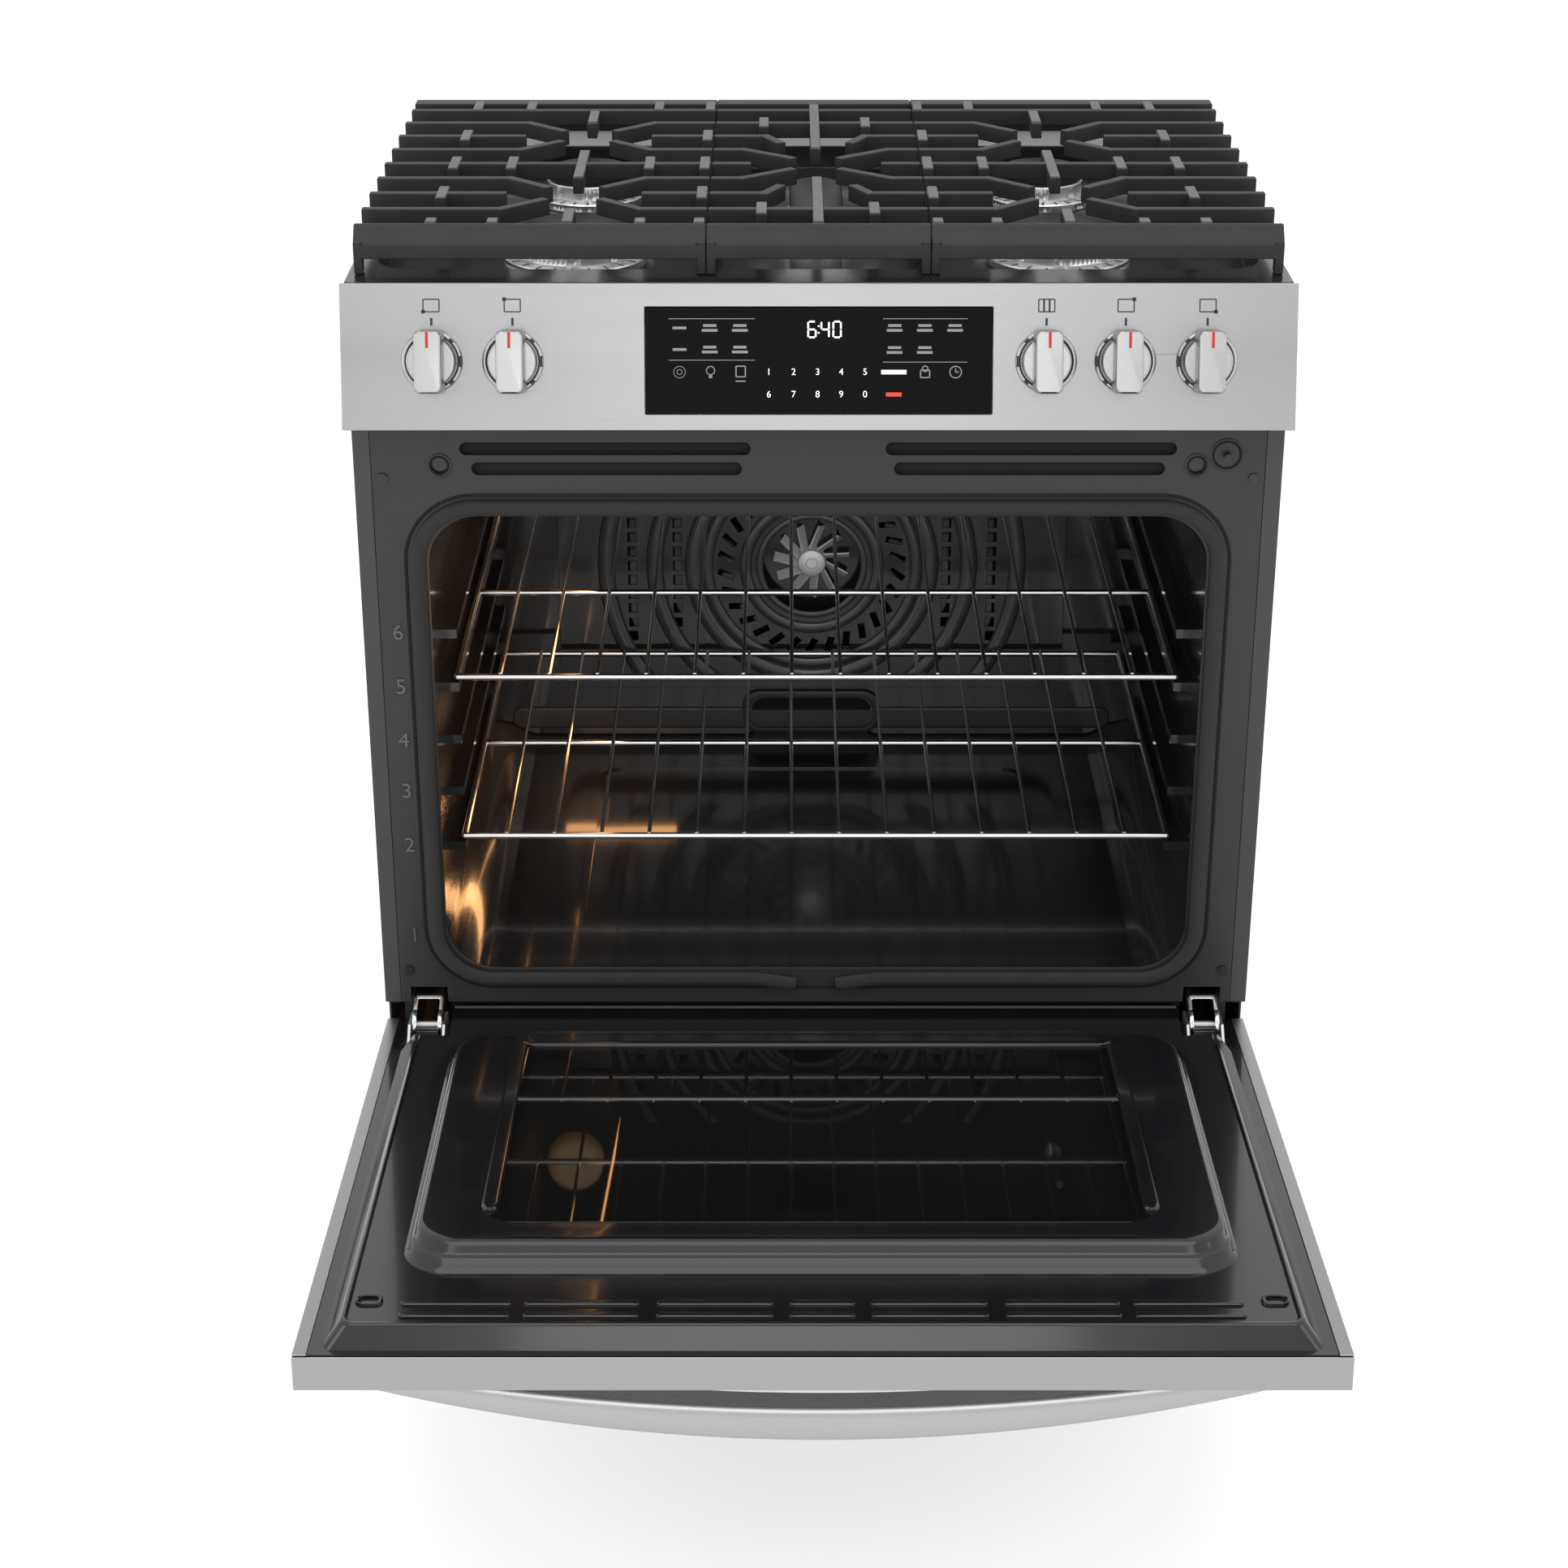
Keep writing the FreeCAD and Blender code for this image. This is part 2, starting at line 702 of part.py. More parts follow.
def hinge_arms():
    """Arms that reach out of the body to the door's pins, with the pockets that hold them."""
    x = (hinge_x - hinge_arm_width / 2, hinge_x + hinge_arm_width / 2)
    back = apron_setback + 45
    profile = [(hinge_y, hinge_z - 14), (back, hinge_z - 14), (back, hinge_z + 23),
               (2, hinge_z + 23), (hinge_y + 3, hinge_z + 14), (hinge_y, hinge_z + 14)]
    arm = join([prism_x(profile, x), rod((x[0], hinge_y, hinge_z), (x[1], hinge_y, hinge_z), 14)])
    hollow = box((x[0] + 4, x[1] - 4), (hinge_y - 20, back + 1), (hinge_z - 20, hinge_z + 19))
    hole = rod((x[0] - 1, hinge_y, hinge_z), (x[1] + 1, hinge_y, hinge_z), hinge_pin + shaft_gap)
    pocket = box((x[0] - 3, half_body - sheet), (apron_setback + sheet, back),
                 (hinge_z + 23, hinge_z + 27))
    return group(both_sides(join([cut(arm, [hollow, hole]), pocket])))


def door_handle():
    """Bowed bar whose ends meet the door's face."""
    z = (door_top - handle_drop - handle_height / 2, door_top - handle_drop + handle_height / 2)
    tip = handle_half
    outer = Part.Arc(V(-tip, door_face - 10, z[0]), V(0, door_face - handle_reach, z[0]),
                     V(tip, door_face - 10, z[0])).toShape()
    heel = tip - 34
    inner = Part.Arc(V(heel, door_face, z[0]), V(0, door_face - handle_finger, z[0]),
                     V(-heel, door_face, z[0])).toShape()
    ends = []
    for side in (1, -1):
        a = V(side * tip, door_face - 10, z[0])
        b = V(side * tip, door_face, z[0])
        c = V(side * heel, door_face, z[0])
        ends.append([Part.makeLine(a, b), Part.makeLine(b, c)])
    edges = [outer] + ends[0] + [inner] + [ends[1][1], ends[1][0]]
    bow = Part.Face(Part.Wire(Part.__sortEdges__(edges))).extrude(V(0, 0, handle_height))
    long_edges = [e for e in bow.Edges if e.Length > tip and e.BoundBox.YMin < door_face - handle_reach + 1]
    return bow.makeFillet(6, long_edges)


# ------------------------------------------------------------------ control panel and gas train
def control_panel():
    top = (panel_top_y, worktop_height)
    edge = panel_top_y + panel_edge
    outer = prism_x([(-panel_reach, panel_foot), top, (edge, worktop_height), (edge, panel_foot)],
                    (-half_panel, half_panel))
    lean = (panel_reach + panel_top_y) / panel_height
    wall = sheet / math.sin(math.radians(slope))
    low = -panel_reach + sheet * lean + wall
    high = panel_top_y + 5 * lean + wall
    inner = prism_x([(low, panel_foot + sheet), (high, worktop_height + 5),
                     (edge + 30, worktop_height + 5), (edge + 30, panel_foot + sheet)],
                    (-half_panel + sheet, half_panel - sheet))
    tools = [inner]
    window = box((-display_half - seat_gap, display_half + seat_gap),
                 (display_low - seat_gap, display_high + seat_gap), (-sheet - 1, 1))
    tools.append(on_panel(window))
    for x in knob_places:
        hole = rod((x, knob_rise, -sheet - 1), (x, knob_rise, 1), stem_radius + 1.5)
        tools.append(on_panel(hole))
    return cut(outer, tools)


def display_glass():
    return on_panel(box((-display_half, display_half), (display_low, display_high), (-2.6, 0.6)))


def control_board():
    top = display_high - 14
    case = box((-display_half - 6, display_half + 6), (display_low - 4, top), (-26, -2.6))
    hollow = box((-display_half, display_half), (display_low + 2, top - 6), (-24, -4.6))
    board = box((-display_half, display_half), (display_low + 2, top - 6), (-14, -12.4))
    return on_panel(group([cut(case, [hollow]), board]))


def knob_bezels():
    rings = []
    for x in knob_places:
        rings.append(ring((x, knob_rise, 0), (0, 0, 1), bezel_outer, bezel_inner, bezel_height))
    return on_panel(group(rings))




def stem_shape(x, grow, low, high):
    round_part = rod((x, knob_rise, low), (x, knob_rise, high), stem_radius + grow)
    flat = box((x + stem_flat + grow, x + 20), (knob_rise - 20, knob_rise + 20), (6, high + 1))
    return cut(round_part, [flat])


def valve_stem(x):
    return on_panel(stem_shape(x, 0, stem_foot, stem_top))


def burner_knob(x):
    base = rod((x, knob_rise, knob_push + 0.5), (x, knob_rise, 14), knob_base)
    grip = round_along_z((x - grip_width / 2, x + grip_width / 2),
                         (knob_rise - grip_length / 2, knob_rise + grip_length / 2), 8,
                         (8, knob_reach))
    bore = stem_shape(x, shaft_gap, 0, stem_top + knob_push + 1)
    clear = rod((x, knob_rise, 0), (x, knob_rise, 6 + knob_push + 1), stem_radius + 0.4)
    return on_panel(cut(join([base, grip]), [bore, clear]))


def gas_valves():
    valves = []
    for x in knob_places:
        body = rod((x, knob_rise, -46), (x, knob_rise, -8), 14)
        tap = box((x - 7, x + 7), (manifold_rise + manifold_radius + 0.2, knob_rise), (-46, -34))
        bore = rod((x, knob_rise, -30), (x, knob_rise, 0), stem_radius + shaft_gap)
        valves.append(cut(join([body, tap]), [bore]))
    return on_panel(group(valves))


def manifold_line():
    """The manifold runs behind the valves, along the panel's lower edge."""
    down = on_panel(Part.Vertex(0, manifold_rise, -manifold_depth)).Point
    return down.y, down.z


def gas_manifold():
    y, z = manifold_line()
    reach = half_body - 30
    rear_y = body_depth - 40
    gas_x, gas_z = gas_inlet_place()
    pipe_x = reach
    main = pipe([(-reach, y, z), (pipe_x, y, z), (pipe_x, rear_y, z), (pipe_x, rear_y, gas_z + 60),
                 (gas_x, rear_y, gas_z + 60), (gas_x, rear_y, gas_z + 25)], manifold_radius)
    return main


def pressure_regulator():
    x, z = gas_inlet_place()
    y = body_depth - 40
    body = rod((x, y, z - 18), (x, y, z + 25), 26)
    port = rod((x, y + 20, z), (x, body_depth - 2, z), 15)
    bore = rod((x, y + 12, z), (x, body_depth, z), 10)
    return cut(join([body, port]), [bore])


def burner_places():
    """Centre, base radius of each round burner; the oval one in the middle is apart."""
    places = []
    for x in (-burner_x, burner_x):
        places.append((x, front_burner_y, front_burner_radius))
        places.append((x, rear_burner_y, rear_burner_radius))
    return places


oval_y = rows[4]


def oval(half_width, half_length, z):
    return round_along_z((-half_width, half_width), (oval_y - half_length, oval_y + half_length),
                         half_width - 0.01, z)


def burner_heads():
    """Cast bowls that sit on the pan and the ported heads that stand in them."""
    solids = []
    seat = well_floor
    step = seat + base_height
    for x, y, radius in burner_places():
        bowl = rod((x, y, seat), (x, y, step), radius)
        horn = rod((x, y, seat - 12), (x, y, seat), 18)
        solids.append(join([bowl, horn]))
        head = rod((x, y, step), (x, y, step + head_height), radius - 11)
        notches = []
        for k in range(24):
            port = box((radius - 16, radius - 8), (-1, 1), (step + 5, step + 8))
            port.rotate(V(0, 0, 0), V(0, 0, 1), 15.0 * k)
            port.translate(V(x, y, 0))
            notches.append(port)
        solids.append(cut(head, notches))
    solids.append(join([oval(oval_half_width, oval_half_length, (seat, step)),
                        rod((0, oval_y, seat - 12), (0, oval_y, seat), 18)]))
    solids.append(oval(oval_half_width - 6, oval_half_length - 6, (step, step + head_height)))
    return group(solids)


def burner_caps():
    low = well_floor + base_height + head_height
    caps = []
    for x, y, radius in burner_places():
        cap = rod((x, y, low), (x, y, low + cap_height), radius - 13)
        caps.append(cap.makeFillet(4, [e for e in cap.Edges if e.BoundBox.ZMin > low + 5]))
    cap = oval(oval_half_width - 4, oval_half_length - 4, (low, low + cap_height))
    caps.append(cap.makeFillet(3, [e for e in cap.Edges if e.BoundBox.ZMin > low + 5]))
    return group(caps)


def electrode_places():
    places = []
    for x, y, radius in burner_places():
        side = -1 if x > 0 else 1
        places.append((x + side * (radius - 6), y))
    places.append((0, oval_y - oval_half_length - 6))
    return places


def spark_electrodes():
    solids = []
    low = well_floor
    for number, (x, y) in enumerate(electrode_places()):
        foot = low if number == 4 else low + base_height
        solids.append(rod((x, y, foot), (x, y, low + base_height + 9), 3))
    return group(solids)


def cooktop_pan():
    x = (-half_body, half_body)
    y = (pan_front, deck_back)
    pan = round_along_z(x, y, 5, (pan_foot, worktop_height))
    well = round_along_z((-well_half, well_half), (well_front, well_back), 30,
                         (well_floor, worktop_height + 1))
    skirt = box((x[0] + sheet, x[1] - sheet), (y[0] + sheet, y[1] - sheet),
                (pan_foot - 1, worktop_height - sheet))
    bowl = round_along_z((-well_half - sheet, well_half + sheet),
                         (well_front - sheet, well_back + sheet), 32,
                         (well_floor - sheet, worktop_height))
    hollow = skirt.cut(bowl)
    tools = [well, hollow]
    for bx, by, radius in burner_places() + [(0, oval_y, 0)]:
        tools.append(rod((bx, by, well_floor - 5), (bx, by, well_floor + 1), 18 + shaft_gap))
    return cut(pan, tools)


def rear_vent_trim():
    x = (-half_body, half_body)
    y = (deck_back, body_depth)
    trim = box(x, y, (pan_foot, vent_height))
    trim = trim.makeFillet(6, [e for e in trim.Edges if e.BoundBox.ZMin > vent_height - 1
                               and e.BoundBox.XLength > 100])
    inner = box((x[0] + sheet, x[1] - sheet), (y[0] + sheet, y[1] - sheet),
                (pan_foot - 1, vent_height - sheet))
    tools = [inner]
    pitch = (body_width - 80) / vent_slots
    middle = (y[0] + y[1]) / 2
    for k in range(vent_slots):
        start = x[0] + 40 + pitch * k + 8
        tools.append(box((start, start + pitch - 16), (middle - 4, middle + 4),
                         (vent_height - 4, vent_height + 1)))
    return cut(trim, tools)


def supply_tubes():
    """Aluminium tubes from each valve to its burner's horn, under the cooktop."""
    end = well_floor - 12
    targets = [(-burner_x, front_burner_y), (-burner_x, rear_burner_y), (0, oval_y),
               (burner_x, rear_burner_y), (burner_x, front_burner_y)]
    tubes = []
    for number, (place, target) in enumerate(zip(knob_places, targets)):
        start = on_panel(Part.Vertex(place, knob_rise, -46.2)).Point
        turn = on_panel(Part.Vertex(place, knob_rise, -62)).Point
        level = turn.z - (14 if number in (1, 3) else 0)
        points = [(start.x, start.y, start.z), (turn.x, turn.y, turn.z),
                  (turn.x, turn.y + 20, level),
                  (target[0], target[1], level), (target[0], target[1], end)]
        tubes.append(pipe(points, 4))
    return group(tubes)


# ------------------------------------------------------------------ light switch
def light_switch_body():
    x, z = switch_place()
    case = box((x - 14, x + 14), (sheet, sheet + 26), (z - 15, z + 15))
    rim = rod((x, 0, z), (x, sheet, z), 13 - 0.2)
    bore = rod((x, -1, z), (x, sheet + 16, z), 3 + shaft_gap)
    return cut(join([case, rim]), [bore])


def light_switch_plunger():
    x, z = switch_place()
    tip = -(door_standoff - 0.5)
    return rod((x, tip, z), (x, sheet + 8, z), 3)


# ------------------------------------------------------------------ drawer
def drawer_front():
    x = (-half_body, half_body)
    outer = box(x, (-drawer_face, -sheet), (drawer_foot, drawer_top))
    outer = outer.makeFillet(3, [e for e in outer.Edges if e.BoundBox.YMax < 1 - drawer_face])
    inner = box((x[0] + sheet, x[1] - sheet), (sheet - drawer_face, 1),
                (drawer_foot + sheet, drawer_top - sheet))
    return cut(outer, [inner])


def drawer_tray():
    front = sheet - drawer_face
    tray = box((-tray_half, tray_half), (front, tray_back), (tray_floor, tray_rim))
    lips = both_sides(box((tray_half - 1, tray_half + tray_lip), (apron_setback + 5, tray_back),
                          (tray_rim - sheet, tray_rim)))
    inner = box((sheet - tray_half, tray_half - sheet), (front + sheet, tray_back - sheet),
                (tray_floor + sheet, tray_rim + 1))
    return cut(join([tray] + lips), [inner])


def drawer_rails():
    top = tray_rim - sheet - seat_gap
    x = (tray_half + 3, half_body - sheet)
    y = (apron_setback + 5, body_depth - 60)
    ledge = box(x, y, (top - runner_depth, top))
    web = box((x[1] - 4, x[1]), y, (top - 50, top))
    return group(both_sides(join([ledge, web])))


# ------------------------------------------------------------------ grates
def bar_along_x(x, y):
    return box(x, (y - bar / 2, y + bar / 2), (grate_top - bar_depth, grate_top))


def bar_along_y(x, y):
    return box((x - bar / 2, x + bar / 2), y, (grate_top - bar_depth, grate_top))


def bar_between(start, end):
    run = V(end[0] - start[0], end[1] - start[1], 0)
    piece = box((-bar / 2, run.Length), (-bar / 2, bar / 2), (grate_top - bar_depth, grate_top))
    piece.rotate(V(0, 0, 0), V(0, 0, 1), math.degrees(math.atan2(run.y, run.x)))
    piece.translate(V(start[0], start[1], 0))
    return piece


def grate_edge(x):
    """Front wall, back wall, side rails and feet of one grate that spans the stretch x."""
    rail_foot = grate_top - bar_depth - grate_rail
    slope_foot = grate_top - bar_depth
    front = prism_x([(row_start, grate_top), (row_start + 4, grate_top), (row_start, rail_foot),
                     (grate_front, rail_foot), (grate_front, slope_foot)], x)
    back = box(x, (grate_rear - grate_rear_wall, grate_rear), (rail_foot, grate_top))
    pieces = [front, back]
    for low, high in ((x[0], x[0] + 7), (x[1] - 7, x[1])):
        pieces.append(box((low, high), (grate_front, grate_rear), (rail_foot, slope_foot + 1)))
        for y in ((grate_front, grate_front + 12), (grate_rear - 14, grate_rear)):
            pieces.append(box((low, high), y, (worktop_height + seat_gap, rail_foot + 1)))
    return pieces


def side_grate():
    x = (seam + seam_gap / 2, grate_half)
    pieces = grate_edge(x)
    inner = burner_x - 57
    outer = burner_x + 57
    for k in (4, 8):
        pieces.append(bar_along_x(x, rows[k]))
    for k, burner_row, side in ((1, 2, -1), (3, 2, 1), (5, 6, -1), (7, 6, 1)):
        y = rows[k]
        pieces += [bar_along_x((x[0], inner), y), bar_along_x((outer, x[1]), y)]
        tip = rows[burner_row] + side * 19
        pieces.append(bar_between((inner, y), (burner_x - 22, tip)))
        pieces.append(bar_between((outer, y), (burner_x + 22, tip)))
    for k in (2, 6):
        pieces.append(bar_along_x((x[0], burner_x - 56), rows[k]))
        pieces.append(bar_along_x((burner_x + 56, x[1]), rows[k]))
    for y in ((row_start, rows[1] - 1), (rows[3] - 3, rows[5] - 5), (rows[7] - 6, rows[8])):
        pieces.append(bar_along_y(burner_x, y))
    stubs = [x[0] + bar / 2 + 1, burner_x - 58.5, burner_x + 60, burner_x + 109.5]
    for place in stubs:
        pieces.append(bar_along_y(place, (row_start, row_start + 20)))
        pieces.append(bar_along_y(place, (grate_rear - 46, grate_rear - 10)))
        pieces.append(bar_along_y(place, (rows[4] - 23, rows[4] + 23)))
    for place in (stubs[0], stubs[3]):
        for k in (2, 6):
            pieces.append(bar_along_y(place, (rows[k] - 21, rows[k] + 21)))
    return join(pieces)


def center_grate():
    edge = seam - seam_gap / 2
    x = (-edge, edge)
    pieces = grate_edge(x)
    for k in (1, 7, 8):
        pieces.append(bar_along_x(x, rows[k]))
    for y in ((row_start, rows[3] + 4), (rows[5] - 1, rows[8] + 30)):
        pieces.append(bar_along_y(0, y))
    branches = [(2, 44, 30, 29), (3, 63, 19, 35), (5, 63, 19, -35), (6, 44, 30, -29)]
    for side in (1, -1):
        for k in (1, 7):
            pieces.append(bar_along_y(side * 46, (rows[k] - 20, rows[k] + 20)))
        for k, elbow, tip, rise in branches:
            span = sorted((side * edge, side * elbow))
            pieces.append(bar_along_x(span, rows[k]))
            pieces.append(bar_between((side * elbow, rows[k]), (side * tip, rows[k] + rise)))
        pieces.append(bar_along_x(sorted((side * edge, side * 56)), rows[4]))
    return join(pieces)


# ------------------------------------------------------------------ build
pieces = {
    "leveling_legs": leveling_legs(),
    "base_frame": base_frame(),
    "side_panel_right": side_panel(),
    "side_panel_left": mirrored(side_panel()),
    "back_panel": back_panel(),
    "power_inlet": power_inlet(),
    "front_frame": front_frame(),
    "panel_screws": panel_screws(),
    "door_gasket": door_gasket(),
    "oven_liner": oven_liner(),
    "oven_floor_panel": oven_floor_panel(),
    "fan_cover": fan_cover(),
    "convection_fan": convection_fan(),
    "fan_motor": fan_motor(),
    "oven_lamp": oven_lamp(),
    "lamp_lens": lamp_lens(),
    "temperature_probe": temperature_probe(),
    "broil_burner": broil_burner(),
    "bake_burner": bake_burner(),
    "insulation_blanket": insulation_blanket(),
    "rack_lower": oven_rack(lower_position),
    "rack_upper": oven_rack(upper_position),
    "door_skin": opened(door_skin()),
    "door_outer_glass": opened(door_outer_glass()),
    "door_liner": opened(door_liner()),
    "door_inner_glass": opened(door_inner_glass()),
    "door_hinge_channels": opened(door_hinge_channels()),
    "door_handle": opened(door_handle()),
    "hinge_arms": hinge_arms(),
    "control_panel": control_panel(),
    "display_glass": display_glass(),
    "control_board": control_board(),
    "knob_bezels": knob_bezels(),
    "gas_valves": gas_valves(),
    "gas_manifold": gas_manifold(),
    "pressure_regulator": pressure_regulator(),
    "supply_tubes": supply_tubes(),
    "cooktop_pan": cooktop_pan(),
    "rear_vent_trim": rear_vent_trim(),
    "burner_heads": burner_heads(),
    "burner_caps": burner_caps(),
    "spark_electrodes": spark_electrodes(),
    "light_switch_body": light_switch_body(),
    "light_switch_plunger": light_switch_plunger(),
    "drawer_front": drawer_front(),
    "drawer_tray": drawer_tray(),
    "drawer_rails": drawer_rails(),
    "grate_right": side_grate(),
    "grate_left": mirrored(side_grate()),
    "grate_center": center_grate(),
}
knob_names = ["front_left", "rear_left", "center", "rear_right", "front_right"]
for name, place in zip(knob_names, knob_places):
    pieces["stem_" + name] = valve_stem(place)
    pieces["knob_" + name] = burner_knob(place)

# The origin goes under the middle of the whole range, which reaches from the open door's end
# to the back of the power inlet.
whole = group(list(pieces.values())).optimalBoundingBox(False, False)
shift = V(0, -(whole.YMin + whole.YMax) / 2, 0)

os.makedirs("parts", exist_ok=True)
for name, shape in pieces.items():
    moved = shape.copy()
    moved.translate(shift)
    for solid in moved.Solids:
        if not solid.isValid():
            print("not valid:", name)
    moved.exportStep("parts/" + name + ".step")
print(len(pieces), "pieces, shifted along Y by", round(shift.y, 4))
print("size", [round(v, 2) for v in (whole.XLength, whole.YLength, whole.ZLength)],
      "lowest", round(whole.ZMin, 4))
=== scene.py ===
# %% [markdown]
# # A freestanding gas range
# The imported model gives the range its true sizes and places, and this file gives it its looks.
# First the frame is loaded. Every length here is in metres, and every place is read from the
# frame's nodes, so that a piece drawn here lies where the real one is bolted on.

# %% Load the frame
import json
import math

import bpy
from mathutils import Matrix, Vector


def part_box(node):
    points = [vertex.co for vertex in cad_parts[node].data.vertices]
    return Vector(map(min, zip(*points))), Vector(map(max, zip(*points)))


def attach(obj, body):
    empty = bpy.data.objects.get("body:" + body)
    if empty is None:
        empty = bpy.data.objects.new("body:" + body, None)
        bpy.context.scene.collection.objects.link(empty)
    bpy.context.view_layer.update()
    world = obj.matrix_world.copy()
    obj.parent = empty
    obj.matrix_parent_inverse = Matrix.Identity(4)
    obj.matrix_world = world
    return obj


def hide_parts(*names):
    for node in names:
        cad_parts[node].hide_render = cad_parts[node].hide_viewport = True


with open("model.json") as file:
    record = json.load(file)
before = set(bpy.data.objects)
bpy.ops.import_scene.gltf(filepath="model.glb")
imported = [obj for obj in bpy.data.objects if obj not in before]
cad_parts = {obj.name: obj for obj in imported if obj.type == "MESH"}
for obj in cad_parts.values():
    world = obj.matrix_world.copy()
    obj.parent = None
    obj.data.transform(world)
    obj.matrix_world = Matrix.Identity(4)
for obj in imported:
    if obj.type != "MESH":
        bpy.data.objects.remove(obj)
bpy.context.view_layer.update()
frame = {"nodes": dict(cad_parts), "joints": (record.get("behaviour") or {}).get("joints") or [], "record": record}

nodes = frame["nodes"]
joints = {joint["name"]: joint for joint in frame["joints"]}
body_of = {n: b for b, ns in frame["record"]["behaviour"]["bodies"].items() for n in ns}
slot_of = {s["node"]: s["material_slot"] for s in frame["record"]["subparts"]}

# %% [markdown]
# ## Camera
# The camera comes first, because everything is judged through it. It looks a little down on the
# cooktop from in front, with a lens of 71 mm on a 36 mm frame, and it has no shift.

# %% Camera
CAMERA_PLACE = (-0.0277, -2.4246, 1.5637)
CAMERA_DOWN = 0.4261
IMAGE_SIDE = 1932
FOCAL_PIXELS = 3800.3

lens_data = bpy.data.cameras.new("camera")
lens_data.sensor_width = 36.0
lens_data.lens = FOCAL_PIXELS / IMAGE_SIDE * lens_data.sensor_width
camera = bpy.data.objects.new("camera", lens_data)
camera.location = CAMERA_PLACE
camera.rotation_euler = (math.pi / 2 - CAMERA_DOWN, 0, 0)
bpy.context.scene.collection.objects.link(camera)
bpy.context.scene.camera = camera
print("lens", round(lens_data.lens, 1), "mm")

# %% [markdown]
# ## Working by hand, in code
# Each new piece starts as a primitive and is shaped with the same operators that a person uses.
# These helpers keep the selection clean, because an operator acts on everything selected.


# %% Helpers for selecting and finishing
def only(piece):
    """Makes one object the active one, with nothing else selected."""
    bpy.ops.object.select_all(action="DESELECT")
    piece.select_set(True)
    bpy.context.view_layer.objects.active = piece


def fixed(piece):
    """Puts the object's place, turn and scale into its mesh."""
    only(piece)
    bpy.ops.object.transform_apply(location=True, rotation=True, scale=True)
    return piece


def modify(piece, kind, **settings):
    """Adds one modifier and applies it at once."""
    only(piece)
    modifier = piece.modifiers.new(kind.lower(), kind)
    for key, value in settings.items():
        setattr(modifier, key, value)
    bpy.ops.object.modifier_apply(modifier=modifier.name)
    return piece


def bevelled(piece, width, segments=2, angle=30):
    return modify(piece, "BEVEL", width=width, segments=segments, limit_method="ANGLE",
                  angle_limit=math.radians(angle), miter_outer="MITER_ARC")


def smooth(piece, angle=35):
    """Smooth shading that keeps sharp edges sharp and large flats flat."""
    only(piece)
    bpy.ops.object.shade_smooth_by_angle(angle=math.radians(angle))
    return modify(piece, "WEIGHTED_NORMAL", weight=100, keep_sharp=True)


def moved(piece, matrix):
    piece.data.transform(matrix)
    piece.data.update()
    return piece


def copied(piece, matrix):
    """A copy with a mesh of its own, moved by a matrix."""
    twin = piece.copy()
    twin.data = piece.data.copy()
    bpy.context.scene.collection.objects.link(twin)
    return moved(twin, matrix)


def joined(pieces, name):
    bpy.ops.object.select_all(action="DESELECT")
    for piece in pieces:
        piece.select_set(True)
    bpy.context.view_layer.objects.active = pieces[0]
    if len(pieces) > 1:
        bpy.ops.object.join()
    pieces[0].name = name
    return pieces[0]


def edit(piece, test, mode="FACE"):
    """Opens a piece in edit mode with the faces selected whose centre and normal pass a test."""
    only(piece)
    bpy.context.tool_settings.mesh_select_mode = (mode == "VERT", mode == "EDGE", mode == "FACE")
    bpy.ops.object.mode_set(mode="EDIT")
    bpy.ops.mesh.select_all(action="DESELECT")
    bpy.ops.object.mode_set(mode="OBJECT")
    for face in piece.data.polygons:
        face.select = test(face.center, face.normal)
    bpy.ops.object.mode_set(mode="EDIT")


def edit_edges(piece, test):
    """Opens a piece in edit mode with the edges selected whose two ends pass a test."""
    edit(piece, lambda centre, normal: False, "EDGE")
    bpy.ops.object.mode_set(mode="OBJECT")
    for edge in piece.data.edges:
        a, b = (piece.data.vertices[i].co for i in edge.vertices)
        edge.select = test(a, b)
    bpy.ops.object.mode_set(mode="EDIT")


def done():
    bpy.ops.object.mode_set(mode="OBJECT")


def block(low, high):
    """A box between two corners."""
    low, high = Vector(low), Vector(high)
    bpy.ops.object.select_all(action="DESELECT")
    bpy.ops.mesh.primitive_cube_add(size=1, location=(low + high) / 2)
    piece = bpy.context.object
    piece.scale = high - low
    return fixed(piece)


def drum(centre, radius, depth, sides=48, axis="Z"):
    """A round bar whose middle is at a centre, along X, Y or Z."""
    turn = {"X": (0, math.pi / 2, 0), "Y": (math.pi / 2, 0, 0), "Z": (0, 0, 0)}[axis]
    bpy.ops.object.select_all(action="DESELECT")
    bpy.ops.mesh.primitive_cylinder_add(vertices=sides, radius=radius, depth=depth,
                                        location=centre, rotation=turn)
    return fixed(bpy.context.object)


pieces_made = []


def place(piece, name, body, material, stands_for=()):
    """Names a finished piece, paints it and lets it ride on its body."""
    piece.name = name
    piece.data.materials.clear()
    piece.data.materials.append(material)
    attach(piece, body)
    if stands_for:
        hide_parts(*stands_for)
    pieces_made.append(piece)
    return piece


print("helpers ready")

# %% [markdown]
# ## Shader maths as expressions
# A material is a small program. The class below wraps one socket, so that `1 - mask * 0.3`
# writes its Math nodes by itself. Colours are mixed apart, because a Math node turns them grey.


# %% Shader wrapper
class Wire:
    """A socket of a material. Sums and products of wires and numbers add their Math nodes."""

    def __init__(self, paint, socket):
        self.paint = paint
        self.socket = socket

    def maths(self, operation, *values):
        return self.paint.node("ShaderNodeMath", {"operation": operation},
                               dict(enumerate(values)))

    def __add__(self, other):
        return self.maths("ADD", self, other)

    def __radd__(self, other):
        return self.maths("ADD", other, self)

    def __sub__(self, other):
        return self.maths("SUBTRACT", self, other)

    def __rsub__(self, other):
        return self.maths("SUBTRACT", other, self)

    def __mul__(self, other):
        return self.maths("MULTIPLY", self, other)

    def __rmul__(self, other):
        return self.maths("MULTIPLY", other, self)


